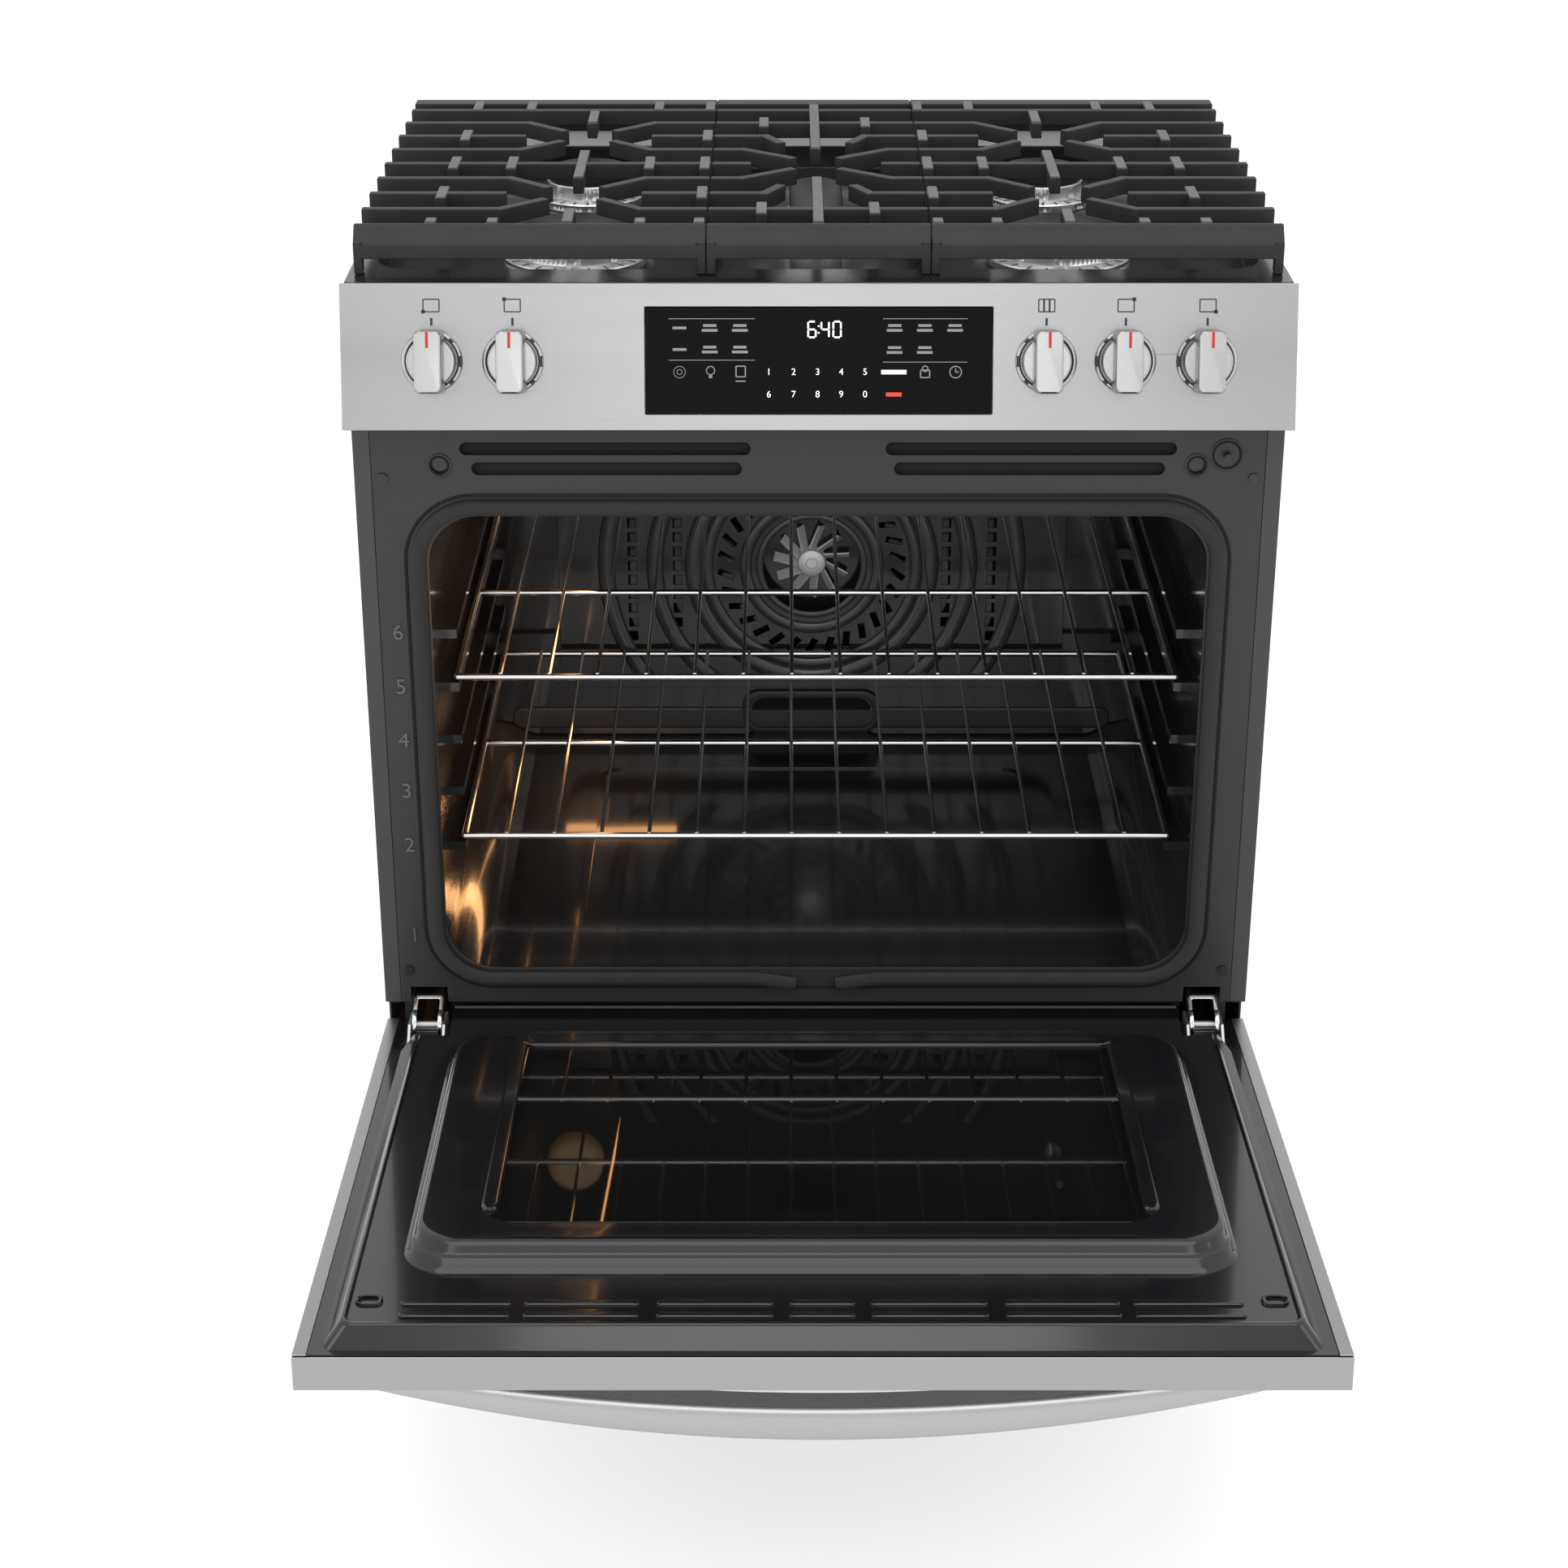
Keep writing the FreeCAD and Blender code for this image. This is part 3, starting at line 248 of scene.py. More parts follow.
class Paint:
    """One material, with its Principled shader."""

    def __init__(self, name, **constants):
        self.material = bpy.data.materials.new(name)
        self.material.use_nodes = True
        self.tree = self.material.node_tree
        self.shader = self.tree.nodes["Principled BSDF"]
        for key, value in constants.items():
            self.shader.inputs[key.replace("_", " ")].default_value = value

    def node(self, kind, settings=None, inputs=None, out=0):
        """Adds a node: its settings first, then the values or wires of its sockets."""
        made = self.tree.nodes.new(kind)
        for key, value in (settings or {}).items():
            if key == "stops":
                ramp = made.color_ramp
                while len(ramp.elements) < len(value):
                    ramp.elements.new(0.5)
                for element, (position, colour) in zip(ramp.elements, value):
                    element.position = position
                    element.color = colour
            else:
                setattr(made, key, value)
        for key, value in (inputs or {}).items():
            if isinstance(value, Wire):
                self.tree.links.new(value.socket, made.inputs[key])
            else:
                made.inputs[key].default_value = value
        return Wire(self, made.outputs[out])

    def place(self, scale=(1, 1, 1), turn=(0, 0, 0)):
        """Object coordinates, stretched and turned."""
        here = self.node("ShaderNodeTexCoord", out=3)
        return self.node("ShaderNodeMapping", None,
                         {"Vector": here, "Scale": scale, "Rotation": turn})

    def noise(self, scale, detail=4.0, stretch=(1, 1, 1), turn=(0, 0, 0), rough=0.5):
        return self.node("ShaderNodeTexNoise", None,
                         {"Vector": self.place(stretch, turn), "Scale": scale,
                          "Detail": detail, "Roughness": rough})

    def ramp(self, value, stops):
        grey = [(position, (level, level, level, 1)) for position, level in stops]
        return self.node("ShaderNodeValToRGB", {"stops": grey}, {0: value})

    def mix(self, factor, low, high):
        """Mixes two colours."""
        return self.node("ShaderNodeMix", {"data_type": "RGBA"},
                         {0: factor, 6: low, 7: high}, out=2)

    def bump(self, height, distance, strength=1.0):
        normal = self.node("ShaderNodeBump", None, {"Height": height, "Distance": distance,
                                                    "Strength": strength})
        self.feed(Normal=normal)

    def feed(self, **wires):
        for key, wire in wires.items():
            self.tree.links.new(wire.socket, self.shader.inputs[key.replace("_", " ")])
        return self.material


print("shader wrapper ready")

# %% [markdown]
# ## Metals
# Sheet steel is brushed along its length: fine streaks change the roughness far more than the
# colour. A broad soft stain keeps large faces from looking like paper.


# %% Brushed steel, chrome and cast metals
def grey(level, warm=0.0):
    return (level * (1 + warm), level, level * (1 - warm), 1)


def brushed(name, level, along, rough, dirt=0.05):
    """Steel with streaks along one axis: 0 for X, 1 for Y, 2 for Z."""
    paint = Paint(name, Metallic=1.0, Anisotropic=0.35)
    stretch = [1.0, 1.0, 1.0]
    stretch[along] = 0.006
    streak = paint.noise(1500, 3, stretch, rough=0.7)
    broad = paint.noise(5, 3)
    paint.feed(Base_Color=paint.mix(broad * 0.5 + streak * 0.5, grey(level * 0.9), grey(level)),
               Roughness=rough - 0.07 + streak * 0.14 + broad * dirt)
    paint.bump(streak, 0.00002, 0.35)
    return paint.material


def chrome_plate(name, level=0.72):
    paint = Paint(name, Metallic=1.0)
    haze = paint.noise(60, 4)
    paint.feed(Base_Color=paint.mix(haze, grey(level * 0.9), grey(level)),
               Roughness=0.10 + haze * 0.12)
    paint.bump(haze, 0.00004, 0.3)
    return paint.material


def galvanised(name, level=0.55):
    paint = Paint(name, Metallic=1.0)
    cells = paint.node("ShaderNodeTexVoronoi", None, {"Vector": paint.place(), "Scale": 90})
    haze = paint.noise(9, 3)
    paint.feed(Base_Color=paint.mix(cells, grey(level * 0.8), grey(level)),
               Roughness=0.30 + cells * 0.15 + haze * 0.1)
    paint.bump(cells, 0.00003, 0.3)
    return paint.material


def cast_aluminium(name, level=0.62):
    paint = Paint(name, Metallic=1.0)
    grain = paint.noise(900, 5, rough=0.7)
    heat = paint.noise(25, 3)
    paint.feed(Base_Color=paint.mix(heat, grey(level * 0.8, 0.02), grey(level)),
               Roughness=0.28 + grain * 0.2)
    paint.bump(grain, 0.00008, 0.4)
    return paint.material


def brass_metal(name):
    paint = Paint(name, Metallic=1.0)
    haze = paint.noise(80, 4)
    paint.feed(Base_Color=paint.mix(haze, (0.5, 0.36, 0.14, 1), (0.72, 0.55, 0.26, 1)),
               Roughness=0.25 + haze * 0.2)
    paint.bump(haze, 0.00004, 0.3)
    return paint.material


panel_steel = brushed("brushed steel across", 0.36, 0, 0.31)
handle_steel = brushed("satin steel bar", 0.42, 0, 0.28, 0.02)
knob_steel = brushed("satin knob metal", 0.42, 2, 0.28, 0.02)
chrome = chrome_plate("bright chrome wire")
zinc = galvanised("galvanised sheet")
aluminium = cast_aluminium("cast burner aluminium", 0.85)
tube_metal = cast_aluminium("aluminium tube", 0.7)
brass = brass_metal("brass")
print("metals ready")

# %% [markdown]
# ## Enamels, paint and cast iron
# Porcelain enamel is a glass coat over steel: deep, glossy and slightly wavy, with tiny pale
# specks. The grates wear a coarser matt coat whose grain breaks up every highlight.


# %% Enamels
def enamel(name, colour, rough, specks=0.0, wave=0.0004, coat=0.3, shine=0.5):
    paint = Paint(name, Coat_Roughness=0.06, IOR=1.5, Specular_IOR_Level=shine)
    paint.shader.inputs["Coat Weight"].default_value = coat
    waves = paint.noise(14, 2)
    peel = paint.noise(420, 3)
    dots = paint.node("ShaderNodeTexVoronoi", None, {"Vector": paint.place(), "Scale": 700})
    spot = paint.ramp(dots, [(0.0, 1.0), (0.11, 1.0), (0.14, 0.0)])
    pale = tuple(min(1.0, c * 4 + 0.12) for c in colour[:3]) + (1,)
    tone = tuple(c * 1.25 for c in colour[:3]) + (1,)
    base = paint.mix(waves, colour, tone)
    paint.feed(Base_Color=paint.mix(spot * specks, base, pale),
               Roughness=rough + peel * 0.05 + waves * 0.03)
    paint.bump(waves * 0.9 + peel * 0.02, wave, 0.35)
    return paint.material


def cast_iron_coat(name, level=0.014):
    paint = Paint(name, IOR=1.45, Specular_IOR_Level=0.32)
    grain = paint.noise(1400, 5, rough=0.75)
    broad = paint.noise(30, 3)
    paint.feed(Base_Color=paint.mix(broad, grey(level), grey(level * 1.8)),
               Roughness=0.42 + grain * 0.22)
    paint.bump(grain * 0.7 + broad * 0.3, 0.00025, 0.55)
    return paint.material


def powder_coat(name, level):
    paint = Paint(name)
    grain = paint.noise(800, 4)
    scuff = paint.noise(6, 5)
    paint.feed(Base_Color=paint.mix(scuff, grey(level * 0.85), grey(level * 1.1)),
               Roughness=0.42 + grain * 0.15)
    paint.bump(grain, 0.0001, 0.35)
    return paint.material


frame_enamel = enamel("dark grey enamel", (0.024, 0.0245, 0.025, 1), 0.32, 0.12, coat=0.08, shine=0.28)
black_enamel = enamel("black enamel", (0.007, 0.007, 0.008, 1), 0.22, 0.25, coat=0.1)
door_enamel = enamel("black door enamel", (0.006, 0.006, 0.007, 1), 0.10, 0.10, 0.0002, shine=0.4)
oven_enamel = enamel("glossy oven enamel", (0.008, 0.008, 0.009, 1), 0.10, 0.30)
iron = cast_iron_coat("matt cast iron")
cap_iron = cast_iron_coat("burner cap enamel", 0.010)
side_paint = powder_coat("dark side paint", 0.035)
print("enamels ready")

# %% [markdown]
# ## Glass, plastics and fibre
# The door's glass is nearly black and mirror smooth, so it shows the racks upside down. The
# gasket is a braided glass-fibre tube: its weave is a fine diamond of ridges.


# %% Glass, plastic, gasket
def dark_glass(name, level, smudge=0.03, shine=0.5):
    paint = Paint(name, IOR=1.45, Specular_IOR_Level=shine)
    haze = paint.noise(7, 5)
    paint.feed(Base_Color=paint.mix(haze, grey(level), grey(level * 1.3)),
               Roughness=0.015 + haze * smudge)
    return paint.material


def plain_plastic(name, level, rough=0.45):
    paint = Paint(name)
    grain = paint.noise(1100, 3)
    tone = paint.noise(12, 2)
    paint.feed(Base_Color=paint.mix(tone, grey(level * 0.92), grey(level)),
               Roughness=rough + grain * 0.15)
    paint.bump(grain, 0.00006, 0.3)
    return paint.material


def woven(name, level):
    paint = Paint(name)
    one = paint.node("ShaderNodeTexWave", None,
                     {"Vector": paint.place(turn=(0, math.radians(40), 0)), "Scale": 260})
    two = paint.node("ShaderNodeTexWave", None,
                     {"Vector": paint.place(turn=(0, math.radians(-40), 0)), "Scale": 260})
    weave = one * two
    fuzz = paint.noise(700, 4)
    paint.feed(Base_Color=paint.mix(weave * 0.7 + fuzz * 0.3, grey(level * 0.5), grey(level * 2)),
               Roughness=0.75 + fuzz * 0.2)
    paint.bump(weave + fuzz * 0.3, 0.0008, 0.8)
    return paint.material


def lit_lens(name):
    paint = Paint(name, IOR=1.5, Roughness=0.25)
    ripple = paint.noise(90, 3)
    glow = paint.mix(ripple, (1.0, 0.42, 0.13, 1), (1.0, 0.62, 0.30, 1))
    paint.feed(Base_Color=paint.mix(ripple, (0.85, 0.7, 0.5, 1), (0.95, 0.85, 0.7, 1)),
               Emission_Color=glow)
    paint.shader.inputs["Emission Strength"].default_value = 0.18
    return paint.material


def fibre_wool(name):
    paint = Paint(name, Roughness=0.95)
    strands = paint.noise(60, 6, (1, 6, 6))
    paint.feed(Base_Color=paint.mix(strands, (0.45, 0.38, 0.2, 1), (0.8, 0.74, 0.5, 1)))
    paint.bump(strands, 0.002, 0.8)
    return paint.material


display_black = dark_glass("black display glass", 0.0018, 0.12, 0.04)
window_glass = dark_glass("dark door glass", 0.004, 0.015, 0.6)
black_plastic = plain_plastic("black plastic", 0.02)
white_plastic = plain_plastic("white plastic", 0.7, 0.3)
ceramic = plain_plastic("white ceramic", 0.75, 0.25)
gasket_cloth = woven("woven gasket", 0.022)
lens_glow = lit_lens("warm lamp glass")
wool = fibre_wool("glass wool")
print("glass and fibre ready")

# %% [markdown]
# ## Paint the nodes that keep their shape
# Most sheet and wire parts are right as they are. Each record slot gets its finish here.

# %% Materials of the CAD nodes
finish_of = {
    "brushed_stainless": panel_steel, "satin_steel": handle_steel, "galvanized_steel": zinc,
    "black_enamel": black_enamel, "gray_enamel": frame_enamel, "oven_enamel": oven_enamel,
    "side_paint": side_paint, "cast_iron": iron, "burner_aluminium": aluminium,
    "tube_aluminium": tube_metal, "chrome_wire": chrome, "black_glass": display_black,
    "oven_glass": window_glass, "lens_glass": lens_glow, "woven_gasket": gasket_cloth,
    "glass_wool": wool, "white_ceramic": ceramic, "brass": brass,
    "black_plastic": black_plastic, "white_plastic": white_plastic, "knob_metal": knob_steel,
}
for name, node in nodes.items():
    node.data.materials.clear()
    node.data.materials.append(finish_of[slot_of[name]])
nodes["panel_screws"].data.materials[0] = black_enamel
print("painted", len(nodes), "nodes")

# %% [markdown]
# ## Two ways to make a solid
# Pressed and turned parts are stacks of outlines, so `loft` starts from a cube or a cylinder and
# extrudes its top face, resizing it at each level. A part whose shape is already right could be
# drawn again by hand, but a copy of its mesh with rounded edges is quicker and cannot be out of
# place. Rounding matters, because only a rounded edge catches a line of light.


# %% Loft and soften
def loft(levels, corner=0.0, sides=64, steps=6):
    """Grows a closed solid upward. A level is (half width, low, high, height) for a rounded
    rectangle, or (radius, height) for a round."""
    spans = [(r[0], -r[0], r[0], r[1]) if len(r) == 2 else r for r in levels]
    (half, low, high, foot), (_, _, _, head) = spans[:2]
    if len(levels[0]) == 2:
        piece = drum((0, 0, (foot + head) / 2), half, head - foot, sides)
    else:
        piece = block((-half, low, foot), (half, high, head))
    if corner:
        edit_edges(piece, lambda a, b: abs(a.z - b.z) > (head - foot) / 2)
        bpy.ops.mesh.bevel(offset=corner, segments=steps, affect="EDGES")
        done()
    edit(piece, lambda centre, normal: normal.z > 0.9)
    for number, (new_half, new_low, new_high, height) in enumerate(spans[1:]):
        middle = (new_low + new_high) / 2
        shift = (0, middle - (low + high) / 2, 0 if number == 0 else height - head)
        if number == 0:
            bpy.ops.transform.translate(value=shift)
        else:
            bpy.ops.mesh.extrude_region_move(TRANSFORM_OT_translate={"value": shift})
        ratio = (new_half / half, (new_high - new_low) / (high - low), 1)
        bpy.ops.transform.resize(value=ratio, center_override=(0, middle, height))
        half, low, high, head = new_half, new_low, new_high, height
    done()
    return smooth(piece, 40)


def softened(name, width=0.0006, segments=2):
    """A copy of a node's mesh, merged, cleared of flat seams, with rounded edges."""
    piece = bpy.data.objects.new(name + "_soft", nodes[name].data.copy())
    bpy.context.scene.collection.objects.link(piece)
    only(piece)
    bpy.ops.mesh.customdata_custom_splitnormals_clear()
    bpy.ops.object.mode_set(mode="EDIT")
    bpy.ops.mesh.select_all(action="SELECT")
    bpy.ops.mesh.remove_doubles(threshold=0.00001)
    bpy.ops.mesh.dissolve_limited(angle_limit=math.radians(0.5))
    done()
    modify(piece, "BEVEL", width=width, segments=segments, limit_method="ANGLE",
           angle_limit=math.radians(35), use_clamp_overlap=False)
    return smooth(piece, 40)


def soft_node(name, width=0.0006, segments=2, material=None):
    return place(softened(name, width, segments), name + "_soft", body_of[name],
                 material or finish_of[slot_of[name]], [name])


def cut_away(piece, tools):
    """Takes tool solids out of a piece."""
    for tool in tools:
        modify(piece, "BOOLEAN", operation="DIFFERENCE", object=tool, solver="EXACT")
        bpy.data.objects.remove(tool)
    return piece


print("loft and soften ready")

# %% [markdown]
# ## Three drawing boards
# A piece is drawn flat, with its outside facing up, and then moved to its place. The board on the
# door has its heights measured up the closed door, and the matrix also lays the door open. The
# board on the wall faces forward from the front frame. The board on the panel leans with it.

# %% Drawing boards
FACE_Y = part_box("front_frame")[0].y
HINGE = Vector(joints["door_hinge"]["pos_m"])
DOOR_OPEN = math.radians(86)
laid_open = (Matrix.Translation(HINGE) @ Matrix.Rotation(DOOR_OPEN, 4, "X")
             @ Matrix.Translation(-HINGE))
door_board = laid_open @ Matrix(((-1, 0, 0, 0), (0, 0, 1, FACE_Y), (0, 1, 0, 0), (0, 0, 0, 1)))


def wall_board(y):
    return Matrix(((1, 0, 0, 0), (0, 0, -1, y), (0, 1, 0, 0), (0, 0, 0, 1)))


panel_out = Vector(joints["knob_center_turn"]["axis"]).normalized()
PANEL_FOOT_Y, PANEL_FOOT_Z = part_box("control_panel")[0].yz
panel_board = Matrix(((1, 0, 0, 0), (0, panel_out.z, panel_out.y, PANEL_FOOT_Y),
                      (0, -panel_out.y, panel_out.z, PANEL_FOOT_Z), (0, 0, 0, 1)))
print("panel leans", round(math.degrees(math.asin(-panel_out.y)), 1), "degrees")

# %% [markdown]
# ## Door liner
# The inside of the door is one deep pressing in black enamel: a rim, a field, and a plateau that
# plugs the oven's mouth. It is the nearest and largest dark shape, and it lives from the long
# highlights on its edges, so each edge gets its own small level in the loft.

# %% Door liner and plateau
field = -0.0115
sheet_levels = [(0.360, 0.225, 0.789, -0.0270), (0.3475, 0.2290, 0.7815, -0.0108),
                (0.3460, 0.2300, 0.7802, -0.0095), (0.3440, 0.2315, 0.7785, -0.0090),
                (0.3430, 0.2325, 0.7765, -0.0095), (0.3420, 0.2335, 0.7755, field)]
plateau_levels = [(0.3135, 0.3095, 0.7055, field - 0.002), (0.3120, 0.3110, 0.7040, -0.0113),
                  (0.3100, 0.3130, 0.7015, -0.0102), (0.3090, 0.3140, 0.6995, -0.0085),
                  (0.3078, 0.3150, 0.6958, -0.0048), (0.3070, 0.3156, 0.6938, -0.0037),
                  (0.3060, 0.3163, 0.6912, -0.0033), (0.3050, 0.3170, 0.6894, -0.0020),
                  (0.3040, 0.3178, 0.6858, 0.0020), (0.3033, 0.3184, 0.6836, 0.0037),
                  (0.3020, 0.3195, 0.6800, 0.0047), (0.3000, 0.3215, 0.6770, 0.0050),
                  (0.2560, 0.3360, 0.6565, 0.0050), (0.2540, 0.3380, 0.6545, 0.0040)]
liner = loft(sheet_levels, corner=0.010)
notches = [block((side * 0.339 - 0.021, 0.20, -0.05), (side * 0.339 + 0.021, 0.290, 0.01))
           for side in (1, -1)]
cut_away(liner, notches)
plateau = loft(plateau_levels, corner=0.036, steps=10)
bars = [loft([(0.250, 0.3205, 0.3475, 0.0040), (0.250, 0.3205, 0.3475, 0.0062),
              (0.249, 0.3215, 0.3465, 0.0074), (0.247, 0.3235, 0.3445, 0.0080),
              (0.245, 0.3285, 0.3395, 0.0076)], corner=0.012)]
for side in (1, -1):
    leg = loft([(0.0062, 0.346, 0.638, 0.0040), (0.0062, 0.346, 0.638, 0.0062),
                (0.0052, 0.347, 0.637, 0.0076), (0.0034, 0.349, 0.635, 0.0080)], corner=0.006)
    bars.append(moved(leg, Matrix.Translation((side * 0.251, 0, 0))))
pressed = smooth(joined([liner, plateau] + bars, "door_liner_pressing"), 38)
place(moved(pressed, door_board), "door_liner_pressing", "door", door_enamel,
      ["door_liner"])
pane = loft([(0.2535, 0.3385, 0.6540, 0.0030), (0.2535, 0.3385, 0.6540, 0.0043),
             (0.2528, 0.3392, 0.6533, 0.0047)], corner=0.010)
place(moved(pane, door_board), "door_inner_pane", "door", window_glass,
      ["door_inner_glass"])
print("door liner", len(pressed.data.polygons), "faces")

# %% [markdown]
# The end of the door breathes through pairs of louvres, and two oval bumpers stop it against the
# frame. The hoods are raised beads, and the slot beside each is a dark block of painted shade.

# %% Louvres, bumpers, ledge
LOUVRE_SPANS = ((-0.024, 0.024), (0.035, 0.120), (0.132, 0.216), (0.225, 0.306),
                (-0.120, -0.035), (-0.216, -0.132), (-0.306, -0.225))
hoods, slot_shades = [], []
for low, high in LOUVRE_SPANS:
    middle, half = (low + high) / 2, (high - low) / 2
    for z in (0.7485, 0.7655):
        hood = loft([(half, z - 0.0035, z + 0.0035, field - 0.001),
                     (half - 0.0003, z - 0.0032, z + 0.0032, field + 0.0014),
                     (half - 0.0015, z - 0.0020, z + 0.0020, field + 0.0024)], 0.0034, steps=4)
        hoods.append(moved(hood, Matrix.Translation((middle, 0, 0))))
        slot_shades.append(block((low + 0.002, z - 0.0062, field - 0.001),
                           (high - 0.002, z - 0.0034, field + 0.0002)))
for side in (1, -1):
    lip = loft([(0.0105, 0.7375, 0.7515, field - 0.001), (0.0100, 0.7380, 0.7510, field + 0.0018),
                (0.0090, 0.7390, 0.7500, field + 0.0024), (0.0075, 0.7400, 0.7490, field + 0.002),
                (0.0070, 0.7405, 0.7485, field - 0.0005)], 0.0064)
    hoods.append(moved(lip, Matrix.Translation((side * 0.329, 0, 0))))
# A near-black paint for slots, notches, grooves and openings: painted shade, put where these are dark only from
# shade.
painted_shade_paint = Paint("painted shade", Roughness=0.9)
painted_shade_paint.feed(Base_Color=painted_shade_paint.mix(painted_shade_paint.noise(50), grey(0.001), grey(0.003)))
painted_shade = painted_shade_paint.material
place(moved(joined(hoods, "hoods"), door_board), "door_louvre_hoods", "door", door_enamel)
# The slots are dark blocks of painted shade beside the hoods.
place(moved(joined(slot_shades, "slot_shades"), door_board), "door_louvre_slot_shades", "door", painted_shade)
ledge = block((-0.3762, 0.2245, -0.0275), (0.3762, 0.7945, -0.0262))
cut_away(ledge, [block((side * 0.339 - 0.021, 0.20, -0.05), (side * 0.339 + 0.021, 0.290, 0.01))
                 for side in (1, -1)])
place(moved(ledge, door_board), "door_ledge", "door", door_enamel)
hems = [block((side * 0.3735 - 0.0052, 0.2245, -0.0262), (side * 0.3735 + 0.0052, 0.7960, -0.0252))
        for side in (1, -1)]
place(moved(bevelled(joined(hems, "hems"), 0.0004), door_board), "door_side_hems", "door",
      panel_steel)
soft_node("door_skin", 0.0009, 3)
soft_node("door_hinge_channels", 0.0004)
soft_node("hinge_arms", 0.0010, 3)
print(len(hoods), "hoods and lips")

# %% [markdown]
# ## Handle
# The handle is a bowed bar, thick in the middle and melting into the door at both ends. A curve
# with a bevel would keep one thickness, so the bar is a bevelled block whose end face is
# extruded station by station while its depth follows two arcs.

# %% Handle
SKIN_Y = FACE_Y - 0.054
HANDLE_HALF, HANDLE_HEEL, HANDLE_LOW, HANDLE_HIGH = 0.349, 0.318, 0.745, 0.773


def handle_depths(x):
    """Where the bar's inner and outer sides lie at a place along the handle."""
    outer = -0.0095 - 0.0490 * (1 - (x / HANDLE_HALF) ** 2)
    inner = -0.031 * max(0.0, 1 - (x / HANDLE_HEEL) ** 2)
    return (inner + outer) / 2, (inner - outer) / 2


STATIONS = 48
xs = [-HANDLE_HALF * math.cos(math.pi * k / STATIONS) for k in range(STATIONS + 1)]
middle, half = handle_depths(xs[0])
handle = block((xs[0], -half, HANDLE_LOW), (xs[1], half, HANDLE_HIGH))
moved(handle, Matrix.Translation((0, SKIN_Y + middle, 0)))
edit_edges(handle, lambda a, b: abs(a.x - b.x) > 0.00001)
bpy.ops.mesh.bevel(offset=0.0046, segments=6, affect="EDGES")
done()
edit(handle, lambda centre, normal: normal.x > 0.9)
for x_before, x in zip(xs[:-1], xs[1:]):
    new_middle, new_half = handle_depths(x)
    shift = (x - x_before, new_middle - middle, 0)
    if x_before == xs[0]:
        bpy.ops.transform.translate(value=(0, shift[1], 0))
    else:
        bpy.ops.mesh.extrude_region_move(TRANSFORM_OT_translate={"value": shift})
    bpy.ops.transform.resize(value=(1, new_half / half, 1),
                             center_override=(x, SKIN_Y + new_middle, 0.759))
    middle, half = new_middle, new_half
done()
smooth(handle, 50)
place(moved(handle, laid_open), "door_handle_bow", "door", handle_steel,
      ["door_handle"])
print("handle", len(handle.data.polygons), "faces")

# %% [markdown]
# ## Knobs
# Each knob is a turned base with a wide flat grip across it. It stands in a bright ring on the
# panel, with printed marks beside it. One knob is drawn on the panel's board and copied four
# times, because five knobs drawn apart would drift apart.

# %% Knobs, rings and marks
KNOB_RISE = 0.055
knob_x = {name[5:-5]: joint["pos_m"][0] for name, joint in joints.items()
          if name.startswith("knob_") and name.endswith("_turn")}
print(knob_x)


def plain_paint(name, colour, rough=0.5, coat=0.0):
    paint = Paint(name)
    paint.shader.inputs["Coat Weight"].default_value = coat
    haze = paint.noise(200, 3)
    deep = tuple(c * 0.85 for c in colour[:3]) + (1,)
    paint.feed(Base_Color=paint.mix(haze, deep, colour), Roughness=rough + haze * 0.1)
    return paint.material


print_black = plain_paint("printed black", (0.02, 0.02, 0.022, 1))
pointer_red = plain_paint("red pointer", (0.50, 0.012, 0.010, 1), 0.45)

base = loft([(0.0193, 0.0045), (0.0195, 0.0050), (0.0195, 0.0122), (0.0190, 0.0134),
             (0.0178, 0.0140)], sides=96)
grip = loft([(0.0110, -0.0250, 0.0250, 0.0080), (0.0108, -0.0247, 0.0247, 0.0330),
             (0.0103, -0.0241, 0.0241, 0.0350), (0.0092, -0.0230, 0.0230, 0.0360)], corner=0.005)
knob_base = joined([base, grip], "knob")
smooth(knob_base, 40)
pointer = bevelled(block((-0.0012, 0.0110, 0.0340), (0.0012, 0.0236, 0.0362)), 0.0003)
bpy.ops.object.select_all(action="DESELECT")
bpy.ops.mesh.primitive_torus_add(major_radius=0.0225, minor_radius=0.0021, major_segments=96,
                                 minor_segments=16, location=(0, 0, 0.0006))
ring = smooth(fixed(bpy.context.object), 60)
for name, x in knob_x.items():
    spot = panel_board @ Matrix.Translation((x, KNOB_RISE, 0))
    place(copied(knob_base, spot), "knob_" + name + "_body", "knob_" + name, knob_steel,
          ["knob_" + name])
    place(copied(pointer, spot), "knob_" + name + "_pointer", "knob_" + name, pointer_red)
rings = [copied(ring, panel_board @ Matrix.Translation((x, KNOB_RISE, 0)))
         for x in knob_x.values()]
place(joined(rings, "rings"), "knob_rings", "range_body", knob_steel,
      ["knob_bezels"])
for spare in (knob_base, pointer, ring):
    bpy.data.objects.remove(spare)

# %% [markdown]
# The marks are thin prints: a line above each knob, a small plan of the cooktop with a dot at the
# burner that the knob feeds, and three setting marks beside the ring.

# %% Printed marks
INK = 0.0001


def ink(u, v, width, height, top=INK, turn=0.0):
    mark = block((-width / 2, -height / 2, 0), (width / 2, height / 2, top))
    return moved(mark, Matrix.Translation((u, v, 0)) @ Matrix.Rotation(turn, 4, "Z"))


def outline_box(u, v, width, height, line):
    return [ink(u, v + height / 2, width, line), ink(u, v - height / 2, width, line),
            ink(u - width / 2, v, line, height), ink(u + width / 2, v, line, height)]


